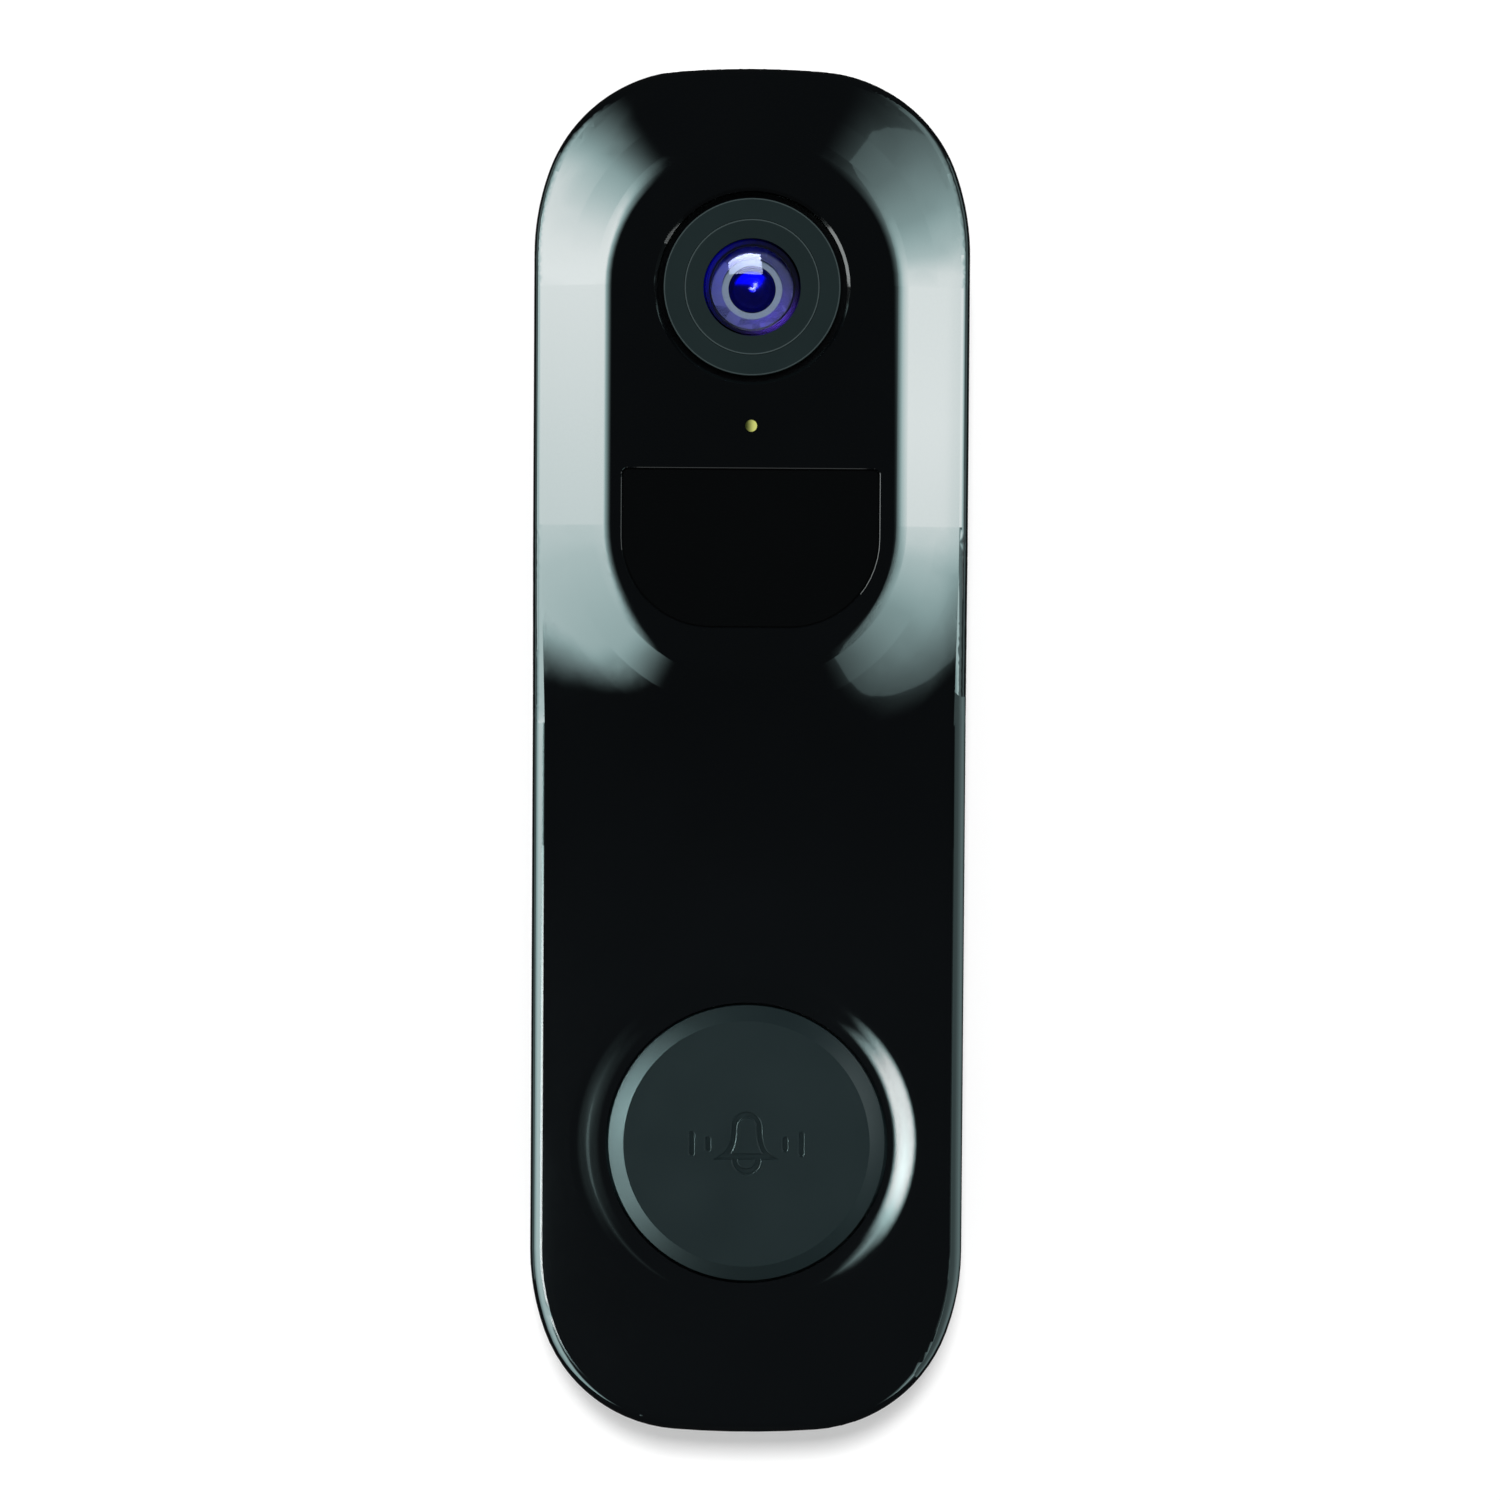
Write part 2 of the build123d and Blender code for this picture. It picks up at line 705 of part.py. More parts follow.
with BuildPart() as front_housing:
    add(front_form(0, pod_foot_radius, pod_rim_radius))
    extrude(body_profile(split_depth), amount=plateau_depth, mode=Mode.INTERSECT)
    sides = front_housing.faces().filter_by(lambda face: abs(face.normal_at().Y) < tolerance)
    rim_edges = sides.edges().filter_by(lambda edge: edge.center().Y < 0.5 - panel_depth)
    fillet(rim_edges, front_edge_radius)
    add(hollow.part, mode=Mode.SUBTRACT)
    # Groove for the rear housing's tongue and the seal.
    groove = tongue_height + seal_height + seam_clearance
    with BuildSketch(facing(split_depth)) as ring:
        add(body_profile(split_depth, side_wall / 2 - seam_clearance))
        add(body_profile(split_depth, side_wall), mode=Mode.SUBTRACT)
    extrude(ring.sketch, amount=groove, mode=Mode.SUBTRACT)
    # Camera opening with a fine bright edge, motion-sensor window and status light.
    disc(split_depth, plateau_depth, camera_bore_radius, (0, camera_z), 0, Mode.SUBTRACT)
    chamfer_top = camera_bore_radius + camera_bore_chamfer
    chamfer_back = plateau_depth - camera_bore_chamfer
    turned([(0, chamfer_back), (camera_bore_radius, chamfer_back), (chamfer_top, plateau_depth),
            (0, plateau_depth)], camera_z, Mode.SUBTRACT)
    extrude(window_profile(wall_back - front_wall, window_gap), amount=2 * front_wall, mode=Mode.SUBTRACT)
    extrude(window_profile(plateau_depth - window_chamfer, window_gap), amount=window_chamfer, taper=-45,
            mode=Mode.SUBTRACT)
    disc(split_depth, plateau_depth, status_pipe_radius + running, (0, status_z), 0, Mode.SUBTRACT)
    # Dish round the button: two arcs that flow into each other, into the panel and into the floor.
    dish_floor = panel_depth - dish_depth
    with BuildSketch(upward(button_z)) as dish:
        with BuildLine():
            Polyline((dish_inner, dish_floor), (0, dish_floor), (0, plateau_depth),
                     (dish_radius, plateau_depth), (dish_radius, panel_depth))
            upper = TangentArc((dish_radius, panel_depth),
                               (dish_radius - dish_run, panel_depth - dish_depth / 2), tangent=(-1, 0))
            TangentArc(upper @ 1, (dish_inner, dish_floor), tangent=upper % 1)
        make_face()
    revolve(dish.sketch, axis=Axis((0, 0, button_z), (0, -1, 0)), mode=Mode.SUBTRACT)
    disc(split_depth, plateau_depth, dish_inner, (0, button_z), 0, Mode.SUBTRACT)
    # Pilot holes in the bosses, from behind.
    for place in housing_screws_at:
        disc(split_depth, floor_back + housing_screw_head + housing_screw_length + slip,
             housing_screw_radius + running, place, 0, Mode.SUBTRACT)
    for place in board_screws_at:
        disc(board_front, board_depth + board_screw_length + slip, board_screw_radius + running, place, 0,
             Mode.SUBTRACT)
    for place in camera_screws_at:
        disc(camera_boss_back, camera_board_depth + camera_screw_length + slip,
             camera_screw_radius + running, place, 0, Mode.SUBTRACT)
    for place in retainer_screws_at:
        disc(retainer_front, retainer_front - retainer_thickness + retainer_screw_length + slip,
             retainer_screw_radius + running, place, 0, Mode.SUBTRACT)
    # Sound slots and the microphone's port through the bottom.
    with BuildSketch(upward(sound_seat_z)) as slots:
        with Locations((0, sound_depth)):
            with GridLocations(grille_pitch, 1, grille_slots, 1):
                SlotOverall(grille_slot[1], grille_slot[0], rotation=90)
        with Locations((microphone_x, sound_depth)):
            Circle(microphone_port_radius)
    extrude(slots.sketch, amount=half_height + sound_seat_z + slip, mode=Mode.SUBTRACT)
    # USB port: a hole through the right-hand wall inside a shallow seat for its cover.
    with BuildSketch(sideways(half_width)) as port:
        with Locations((port_depth, port_z)):
            SlotOverall(port_hole[0], port_hole[1], rotation=90)
    extrude(port.sketch, amount=side_wall, mode=Mode.SUBTRACT)
    with BuildSketch(sideways(half_width)) as seat:
        with Locations((port_depth, port_z)):
            RectangleRounded(port_cover_size[1] + 2 * port_cover_gap, port_cover_size[0] + 2 * port_cover_gap,
                             port_cover_corner + port_cover_gap)
    extrude(seat.sketch, amount=port_recess_depth, mode=Mode.SUBTRACT)

finish(front_housing, "front_housing")

# ---------------------------------------------------------------- seal and housing screws

with BuildPart() as housing_seal:
    seal_back = split_depth + tongue_height
    extrude(body_profile(seal_back, side_wall / 2), amount=seal_height)
    extrude(body_profile(seal_back, side_wall - seam_clearance), amount=seal_height, mode=Mode.SUBTRACT)

finish(housing_seal, "housing_seal")

with BuildPart() as housing_screws:
    head_front = floor_back + housing_screw_head
    for place in housing_screws_at:
        screw(floor_back, head_front, head_front + housing_screw_length, housing_screw_head_radius,
              housing_screw_radius, place)

finish(housing_screws, "housing_screws")

# ---------------------------------------------------------------- camera: what shows in front

bezel_face = trim_face
bezel_back = bezel_face - bezel_length
barrel_face = bezel_face - bezel_slope_drop - bezel_lip - running
barrel_back = barrel_face - barrel_length

with BuildPart() as camera_trim_ring:
    disc(trim_face - trim_thickness, trim_face, trim_radius, (0, camera_z))
    edge = camera_trim_ring.edges().group_by(Axis.Y)[0]
    chamfer(edge, trim_radius - trim_face_radius)
    disc(wall_back - trim_flange, wall_back, trim_flange_radius, (0, camera_z))
    disc(wall_back - trim_flange, trim_face, bezel_radius + running, (0, camera_z), 0, Mode.SUBTRACT)

finish(camera_trim_ring, "camera_trim_ring")

with BuildPart() as lens_bezel:
    disc(bezel_back, bezel_face, bezel_radius, (0, camera_z))
    disc(bezel_back, bezel_back + bezel_flange, bezel_flange_radius, (0, camera_z))
    disc(bezel_back, barrel_face + running, barrel_radius + running, (0, camera_z), 0, Mode.SUBTRACT)
    disc(bezel_back, bezel_face, bezel_opening_radius, (0, camera_z), 0, Mode.SUBTRACT)
    turned([(0, bezel_face - bezel_slope_drop), (bezel_opening_radius, bezel_face - bezel_slope_drop),
            (bezel_radius, bezel_face), (bezel_radius, plateau_depth), (0, plateau_depth)], camera_z,
           Mode.SUBTRACT)

finish(lens_bezel, "lens_bezel")

# ---------------------------------------------------------------- camera: lens

front_lens_rim = barrel_face - front_lens_edge / 2
front_lens_back = front_lens_rim - front_lens_edge
spacer_back = front_lens_back - spacer_thickness
second_lens_rim = spacer_back + second_lens_edge / 2
second_lens_back = second_lens_rim - second_lens_edge
stop_back = second_lens_back - stop_thickness
rear_lens_back = barrel_back + rear_lens_inset

with BuildPart() as lens_barrel:
    disc(barrel_face - barrel_head, barrel_face, barrel_radius, (0, camera_z))
    disc(barrel_back, barrel_face - barrel_head, barrel_thread_radius, (0, camera_z))
    disc(spacer_back, barrel_face, front_bore_radius, (0, camera_z), 0, Mode.SUBTRACT)
    disc(stop_back, barrel_face, second_lens_radius, (0, camera_z), 0, Mode.SUBTRACT)
    disc(barrel_back, stop_back, rear_lens_radius, (0, camera_z), 0, Mode.SUBTRACT)

finish(lens_barrel, "lens_barrel")

with BuildPart() as lens_retaining_ring:
    disc(front_lens_rim, barrel_face + retaining_ring_rise, front_bore_radius, (0, camera_z),
         retaining_ring_radius)
    chamfer(lens_retaining_ring.edges().group_by(Axis.Y)[0].sort_by(SortBy.LENGTH)[0], retaining_ring_edge)

finish(lens_retaining_ring, "lens_retaining_ring")

with BuildPart() as lens_front_element:
    lens(front_bore_radius, front_lens_rim, front_lens_back, retaining_ring_radius, front_lens_curve)

finish(lens_front_element, "lens_front_element")

with BuildPart() as lens_spacer_ring:
    disc(spacer_back, front_lens_back, front_bore_radius, (0, camera_z), second_lens_radius)

finish(lens_spacer_ring, "lens_spacer_ring")

with BuildPart() as lens_second_element:
    lens(second_lens_radius, second_lens_rim, second_lens_back, second_lens_face_radius, second_lens_curve)

finish(lens_second_element, "lens_second_element")

with BuildPart() as aperture_stop:
    disc(stop_back, second_lens_back, second_lens_radius, (0, camera_z), stop_radius)

finish(aperture_stop, "aperture_stop")

with BuildPart() as lens_rear_element:
    lens(rear_lens_radius, rear_lens_back + rear_lens_thickness, rear_lens_back, rear_lens_face_radius,
         rear_lens_curve)

finish(lens_rear_element, "lens_rear_element")

# ---------------------------------------------------------------- camera: holder, filter and sensor

camera_board_front = camera_board_depth + camera_board_thickness
holder_top = camera_board_front + holder_base
filter_back = holder_top - holder_roof - filter_rail - filter_thickness
filter_height = filter_window + 2 * filter_frame
filter_width = filter_window + filter_pitch + 2 * filter_frame

with BuildPart() as lens_holder:
    slab(camera_board_front, holder_top, holder_size, (0, camera_z), holder_corner)
    with BuildSketch(facing(camera_board_front)) as ears:
        with Locations(*camera_screws_at):
            Circle(camera_boss_radius)
        with Locations((camera_screw_x / 2, camera_z - camera_screw_z),
                       (-camera_screw_x / 2, camera_z + camera_screw_z)):
            Rectangle(camera_screw_x, 2 * camera_boss_radius)
    extrude(ears.sketch, amount=ear_thickness)
    disc(holder_top, holder_top + holder_collar, holder_collar_radius, (0, camera_z))
    disc(holder_top - holder_roof, holder_top + holder_collar, barrel_thread_radius + running,
         (0, camera_z), 0, Mode.SUBTRACT)
    # Channel for the filter carriage above the wider room for the image sensor.
    holder_room = [side - 2 * holder_wall for side in holder_size]
    slab(camera_board_front, holder_top - holder_roof, (holder_room[0], filter_height + 2 * filter_rail),
         (0, camera_z), 0, Mode.SUBTRACT)
    slab(camera_board_front, filter_back - filter_rail, holder_room, (0, camera_z), 0, Mode.SUBTRACT)
    for place in camera_screws_at:
        disc(camera_board_front, camera_boss_back, camera_screw_radius + fit, place, 0, Mode.SUBTRACT)

finish(lens_holder, "lens_holder")

with BuildPart() as ir_filter_carriage:
    slab(filter_back, filter_back + filter_thickness, (filter_width, filter_height),
         (filter_pitch / 2, camera_z), filter_corner)
    for x in (0, filter_pitch):
        slab(filter_back, filter_back + filter_thickness, (filter_window, filter_window), (x, camera_z), 0,
             Mode.SUBTRACT)

finish(ir_filter_carriage, "ir_filter_carriage")

with BuildPart() as ir_filter_glass:
    glass_back = filter_back + (filter_thickness - filter_glass_thickness) / 2
    for x in (0, filter_pitch):
        slab(glass_back, glass_back + filter_glass_thickness, (filter_window, filter_window), (x, camera_z))

finish(ir_filter_glass, "ir_filter_glass")

with BuildPart() as image_sensor:
    slab(camera_board_front, camera_board_front + sensor_thickness, sensor_size, (0, camera_z))

finish(image_sensor, "image_sensor")

with BuildPart() as camera_board:
    slab(camera_board_depth, camera_board_front, camera_board_size, (0, camera_z), board_corner)
    for place in camera_screws_at:
        disc(camera_board_depth, camera_board_front, camera_screw_radius + fit, place, 0, Mode.SUBTRACT)

finish(camera_board, "camera_board")

with BuildPart() as camera_screws:
    for place in camera_screws_at:
        screw(camera_board_depth - camera_screw_head, camera_board_depth,
              camera_board_depth + camera_screw_length, camera_screw_head_radius, camera_screw_radius, place)

finish(camera_screws, "camera_screws")

# Flat ribbon: down the back of the camera board, forward through the gap and on behind the main board.
ribbon_near = camera_board_depth - ribbon_thickness / 2
ribbon_far = board_depth - ribbon_thickness / 2
camera_board_low = camera_z - camera_board_size[1] / 2
ribbon_bend_z = (camera_board_low + board_top) / 2

with BuildPart() as camera_ribbon:
    with BuildSketch(sideways(ribbon_width / 2)) as strip:
        with BuildLine() as route:
            FilletPolyline((ribbon_near, camera_board_low + ribbon_overlap), (ribbon_near, ribbon_bend_z),
                           (ribbon_far, ribbon_bend_z), (ribbon_far, board_top - ribbon_overlap),
                           radius=ribbon_bend)
        trace(route.line, line_width=ribbon_thickness)
    extrude(strip.sketch, amount=ribbon_width)

finish(camera_ribbon, "camera_ribbon")

# ---------------------------------------------------------------- infrared lights round the camera

led_board_back = bezel_back + bezel_flange

with BuildPart() as ir_led_board:
    disc(led_board_back, led_board_back + led_board_thickness, led_board_outer_radius, (0, camera_z),
         bezel_radius + fit)

finish(ir_led_board, "ir_led_board")

with BuildPart() as ir_leds:
    with BuildSketch(facing(led_board_back + led_board_thickness)) as lights:
        with Locations((0, camera_z)):
            with PolarLocations(led_circle_radius, led_count, start_angle=led_first_angle):
                Circle(led_radius)
    extrude(lights.sketch, amount=led_height)
    fillet(ir_leds.edges().group_by(Axis.Y)[0], led_radius / 2)

finish(ir_leds, "ir_leds")

# ---------------------------------------------------------------- motion sensor

with BuildPart() as pir_lens:
    lens_back = wall_back - window_flange_thickness
    extrude(window_profile(lens_back), amount=plateau_depth - window_sink - lens_back)
    extrude(window_profile(lens_back, window_flange), amount=window_flange_thickness)

finish(pir_lens, "pir_lens")

with BuildPart() as pir_sensor:
    disc(board_front, board_front + pir_base, pir_base_radius, (0, pir_z))
    disc(board_front, board_front + pir_can_height, pir_can_radius, (0, pir_z))
    fillet(pir_sensor.edges().group_by(Axis.Y)[0], pir_can_edge)
    slab(board_front + pir_can_height - pir_pane_sink, board_front + pir_can_height, pir_pane, (0, pir_z), 0,
         Mode.SUBTRACT)

finish(pir_sensor, "pir_sensor")

with BuildPart() as pir_shroud:
    for shrink, mode in ((0, Mode.ADD), (2 * shroud_wall, Mode.SUBTRACT)):
        with BuildSketch(facing(board_front)) as foot:
            with Locations((0, pir_z)):
                Rectangle(shroud_foot[0] - shrink, shroud_foot[1] - shrink)
        with BuildSketch(facing(lens_back)) as mouth:
            with Locations((0, pir_z)):
                Rectangle(shroud_mouth[0] - shrink, shroud_mouth[1] - shrink)
        loft(sections=[foot.sketch, mouth.sketch], mode=mode)

finish(pir_shroud, "pir_shroud")

# ---------------------------------------------------------------- status light

status_led_front = board_front + status_led_size[2]

with BuildPart() as status_led:
    slab(board_front, status_led_front, status_led_size[:2], (0, status_z))

finish(status_led, "status_led")

with BuildPart() as status_light_pipe:
    disc(status_led_front + status_led_gap, plateau_depth, status_pipe_radius, (0, status_z))
    disc(wall_back - status_collar, wall_back, status_collar_radius, (0, status_z))

finish(status_light_pipe, "status_light_pipe")

# ---------------------------------------------------------------- push button

button_face = panel_depth + button_proud
button_plate_back = button_face - button_plate
flange_front = collar_back - collar_gap
flange_back = flange_front - button_flange
switch_front = board_front + switch_height
plunger_front = switch_front + plunger_rise


def bell():
    """Outline of a hand bell: domed top, flared mouth and a clapper under it."""
    mouth_z = bell_top - bell_height
    shoulder = bell_top - bell_dome / 2
    for side in (-1, 1):
        lip_run = (side * bell_lip_run[0], bell_lip_run[1])
        Spline((side * bell_dome / 2, shoulder),
               (side * (bell_dome / 2 + bell_waist), shoulder - bell_height / 3),
               (side * bell_mouth / 2, mouth_z), tangents=((0, -1), lip_run))
    CenterArc((0, shoulder), bell_dome / 2, 0, 180)
    Line((-bell_mouth / 2, mouth_z), (bell_mouth / 2, mouth_z))


with BuildPart() as button_cap:
    disc(button_plate_back, button_face, button_radius, (0, button_z))
    chamfer(button_cap.edges().group_by(Axis.Y)[0], button_bevel_drop, button_radius - button_face_radius)
    disc(flange_back, button_plate_back, button_radius, (0, button_z), button_radius - button_skirt_wall)
    disc(flange_back, flange_front, button_flange_radius, (0, button_z), button_radius - button_skirt_wall)
    disc(plunger_front, button_plate_back, button_post_radius, (0, button_z))
    with BuildSketch(facing(button_face, button_z)) as mark:
        with BuildLine() as outline_of_bell:
            bell()
        trace(outline_of_bell.line, line_width=mark_line)
        with BuildLine() as clapper:
            mouth_z = bell_top - bell_height
            CenterArc((0, mouth_z - clapper_drop), clapper_radius, 180, 180)
            for side in (-1, 1):
                Line((side * clapper_radius, mouth_z), (side * clapper_radius, mouth_z - clapper_drop))
        trace(clapper.line, line_width=mark_line)
        for x, length in mark_bars:
            with Locations((x, 0), (-x, 0)):
                SlotOverall(length, mark_line, rotation=90)
    extrude(mark.sketch, amount=-mark_depth, mode=Mode.SUBTRACT)
    front_edges = button_cap.edges().group_by(Axis.Y)[0].sort_by(SortBy.LENGTH)
    chamfer(front_edges[:-1], mark_edge)

finish(button_cap, "button_cap")

with BuildPart() as button_gasket:
    disc(retainer_front, retainer_front + gasket_thickness, gasket_radii[1], (0, button_z), gasket_radii[0])

finish(button_gasket, "button_gasket")

retainer_back = retainer_front - retainer_thickness

with BuildPart() as button_retainer:
    disc(retainer_back, retainer_front, retainer_radius, (0, button_z))
    for place in retainer_screws_at:
        disc(retainer_back, retainer_front, retainer_ear_radius, place)
        disc(retainer_back, retainer_front, retainer_screw_radius + fit, place, 0, Mode.SUBTRACT)
    disc(retainer_back, retainer_front, retainer_hole_radius, (0, button_z), 0, Mode.SUBTRACT)

finish(button_retainer, "button_retainer")

with BuildPart() as retainer_screws:
    for place in retainer_screws_at:
        screw(retainer_back - retainer_screw_head, retainer_back, retainer_back + retainer_screw_length,
              retainer_screw_head_radius, retainer_screw_radius, place)

finish(retainer_screws, "retainer_screws")

with BuildPart() as button_switch:
    slab(board_front, switch_front, (switch_size, switch_size), (0, button_z), switch_corner)
    disc(switch_front - plunger_bite - button_travel - fit, switch_front, plunger_radius + running,
         (0, button_z), 0, Mode.SUBTRACT)

finish(button_switch, "button_switch")

with BuildPart() as switch_plunger:
    disc(switch_front - plunger_bite, plunger_front, plunger_radius, (0, button_z))

finish(switch_plunger, "switch_plunger")

# ---------------------------------------------------------------- main board and what stands on it

board_height = board_top - board_bottom
board_middle = (board_top + board_bottom) / 2
pins_at = [(-terminal_spacing / 2, terminal_z), (terminal_spacing / 2, terminal_z)]

with BuildPart() as main_board:
    slab(board_depth, board_front, (board_width, board_height), (0, board_middle), board_corner)
    for place in housing_screws_at:
        disc(board_depth, board_front, housing_boss_radius + slip, place, 0, Mode.SUBTRACT)
    for place in board_screws_at:
        disc(board_depth, board_front, board_screw_radius + fit, place, 0, Mode.SUBTRACT)
    for place in pins_at:
        disc(board_depth, board_front, pin_radius, place, 0, Mode.SUBTRACT)

finish(main_board, "main_board")

with BuildPart() as board_screws:
    for place in board_screws_at:
        screw(board_depth - board_screw_head, board_depth, board_depth + board_screw_length,
              board_screw_head_radius, board_screw_radius, place)

finish(board_screws, "board_screws")

with BuildPart() as board_chips:
    for x, z, width, height, thickness in front_chips:
        slab(board_front, board_front + thickness, (width, height), (x, z))
    slab(board_front, board_front + coil_thickness, coil_size, (coil_place[0], board_top - coil_place[1]))

finish(board_chips, "board_chips")

with BuildPart() as shield_can:
    x, z, width, height, thickness = shield_box
    slab(board_front, board_front + thickness, (width, height), (x, z), shield_corner)
    fillet(shield_can.edges().group_by(Axis.Y)[0], shield_edge)

finish(shield_can, "shield_can")

with BuildPart() as wifi_antenna:
    length, height = antenna_size
    slab(board_front + height - antenna_leg, board_front + height, (antenna_sheet, length),
         (antenna_x, antenna_z))
    leg_z = antenna_z + (length - antenna_leg) / 2
    for z in (leg_z, leg_z - antenna_leg_spacing):
        slab(board_front, board_front + height, (antenna_sheet, antenna_leg), (antenna_x, z))

finish(wifi_antenna, "wifi_antenna")

# ---------------------------------------------------------------- USB port and its cover

usb_width, usb_depth, usb_length = usb_size
usb_mouth_x = half_width - side_wall - usb_mouth_gap

with BuildPart() as usb_socket:
    with BuildSketch(sideways(usb_mouth_x)) as shell:
        with Locations((port_depth, port_z)):
            SlotOverall(usb_width, usb_depth, rotation=90)
    extrude(shell.sketch, amount=usb_length)
    with BuildSketch(sideways(usb_mouth_x)) as mouth:
        with Locations((port_depth, port_z)):
            SlotOverall(usb_width - 2 * usb_wall, usb_depth - 2 * usb_wall, rotation=90)
            Rectangle(usb_tongue[1], usb_tongue[0], mode=Mode.SUBTRACT)
    extrude(mouth.sketch, amount=usb_length - usb_wall, mode=Mode.SUBTRACT)

finish(usb_socket, "usb_socket")

with BuildPart() as port_cover:
    with BuildSketch(sideways(half_width)) as plate:
        with Locations((port_depth, port_z)):
            RectangleRounded(port_cover_size[1], port_cover_size[0], port_cover_corner)
    extrude(plate.sketch, amount=port_recess_depth)
    with BuildSketch(sideways(half_width - port_recess_depth)) as plug:
        with Locations((port_depth, port_z)):
            SlotOverall(port_hole[0] - 2 * port_cover_gap, port_hole[1] - 2 * port_cover_gap, rotation=90)
    extrude(plug.sketch, amount=port_plug_reach)

finish(port_cover, "port_cover")

# ---------------------------------------------------------------- reset key and its switch

reset_switch_back = board_depth - reset_switch_height
reset_tip = reset_switch_back + reset_tip_reach
reset_flange_back = floor_front + running

with BuildPart() as reset_key:
    disc(floor_back + reset_sink, reset_flange_back, reset_radius, (reset_x, terminal_z))
    disc(reset_flange_back, reset_flange_back + reset_flange, reset_flange_radius, (reset_x, terminal_z))
    disc(reset_flange_back, reset_switch_back - reset_travel - fit, reset_stem_radius, (reset_x, terminal_z))
    disc(reset_flange_back, reset_tip, reset_tip_radius, (reset_x, terminal_z))

finish(reset_key, "reset_key")

with BuildPart() as reset_switch:
    slab(reset_switch_back, board_depth, (reset_switch_size, reset_switch_size), (reset_x, terminal_z),
         reset_switch_corner)
    disc(reset_switch_back, reset_tip + reset_travel + fit, reset_tip_radius + fit, (reset_x, terminal_z), 0,
         Mode.SUBTRACT)

finish(reset_switch, "reset_switch")

# ---------------------------------------------------------------- terminals for wired power

with BuildPart() as terminal_block:
    slab(terminal_back, terminal_front, (terminal_window[0] - 2 * fit, terminal_window[1] - 2 * fit),
         (0, terminal_z), terminal_corner)
    slab(floor_front, floor_front + terminal_flange,
         (terminal_window[0] + 2 * terminal_flange_edge, terminal_window[1] + 2 * terminal_flange_edge),
         (0, terminal_z))
    for place in pins_at:
        bore_end = terminal_back + terminal_screw_length + fit
        disc(terminal_back, bore_end, terminal_screw_radius + running, place, 0, Mode.SUBTRACT)
        disc(bore_end, terminal_front, pin_radius, place, 0, Mode.SUBTRACT)

finish(terminal_block, "terminal_block")

with BuildPart() as terminal_screws:
    for place in pins_at:
        screw(terminal_back - terminal_screw_head, terminal_back, terminal_back + terminal_screw_length,
              terminal_screw_head_radius, terminal_screw_radius, place)

finish(terminal_screws, "terminal_screws")

with BuildPart() as terminal_pins:
    for place in pins_at:
        disc(terminal_back + terminal_screw_length + fit, board_front + pin_proud, pin_radius, place)

finish(terminal_pins, "terminal_pins")

# ---------------------------------------------------------------- battery

battery_back = floor_front + pad_thickness
battery_front = battery_back + battery_thickness
lead_depth = battery_back + battery_thickness / 2
connector_back = board_depth - connector_size[2]
connector_z = board_top - connector_size[1] / 2 - connector_inset

with BuildPart() as battery_pad:
    slab(floor_front, battery_back, (battery_width * pad_share, battery_height * pad_share), (0, battery_z),
         pad_corner)

finish(battery_pad, "battery_pad")

with BuildPart() as battery_pack:
    slab(battery_back, battery_front, (battery_width, battery_height), (0, battery_z), battery_corner)
    fillet(battery_pack.edges().group_by(Axis.Y)[0] + battery_pack.edges().group_by(Axis.Y)[-1],
           battery_edge)

finish(battery_pack, "battery_pack")

with BuildPart() as battery_connector:
    slab(connector_back, board_depth, connector_size[:2], (lead_x, connector_z), connector_corner)

finish(battery_connector, "battery_connector")

with BuildPart() as battery_lead:
    for x in (lead_x - lead_spacing / 2, lead_x + lead_spacing / 2):
        with BuildLine(sideways(x)) as wire:
            FilletPolyline((lead_depth, battery_top), (lead_depth, connector_z),
                           (connector_back, connector_z), radius=lead_bend)
        with BuildSketch(Plane(origin=wire.line @ 0, z_dir=wire.line % 0)) as section:
            Circle(lead_radius)
        sweep(section.sketch, path=wire.line)

finish(battery_lead, "battery_lead")

# ---------------------------------------------------------------- sound

speaker_front_z = sound_seat_z + speaker_gasket_thickness
speaker_frame_top = speaker_front_z + speaker_frame
speaker_top = speaker_frame_top + speaker_magnet[2]
sound_place = (0, sound_depth)

with BuildPart() as speaker_gasket:
    level_block(sound_seat_z, speaker_front_z, speaker_size, sound_place, speaker_corner)
    level_block(sound_seat_z, speaker_front_z, (speaker_cone_size[0] + fit, speaker_cone_size[1] + fit),
                sound_place, speaker_corner, Mode.SUBTRACT)

finish(speaker_gasket, "speaker_gasket")

with BuildPart() as speaker_driver:
    level_block(speaker_front_z, speaker_frame_top, speaker_size, sound_place, speaker_corner)
    level_block(speaker_frame_top, speaker_top, speaker_magnet[:2], sound_place, speaker_corner)
    level_block(speaker_front_z, speaker_front_z + speaker_cone_sink + speaker_cone_thickness,
                (speaker_cone_size[0] + fit, speaker_cone_size[1] + fit), sound_place, speaker_corner,
                Mode.SUBTRACT)

finish(speaker_driver, "speaker_driver")

with BuildPart() as speaker_cone:
    cone_low = speaker_front_z + speaker_cone_sink
    level_block(cone_low, cone_low + speaker_cone_thickness, speaker_cone_size, sound_place, speaker_corner)

finish(speaker_cone, "speaker_cone")

boot_top = sound_seat_z + boot_height
microphone_top = boot_top + microphone_size[2]

with BuildPart() as microphone_boot:
    level_disc(sound_seat_z, boot_top, boot_radius, (microphone_x, sound_depth))
    level_disc(sound_seat_z, boot_top, microphone_port_radius, (microphone_x, sound_depth), Mode.SUBTRACT)

finish(microphone_boot, "microphone_boot")

with BuildPart() as microphone:
    level_block(boot_top, microphone_top, microphone_size[:2], (microphone_x, sound_depth))

finish(microphone, "microphone")

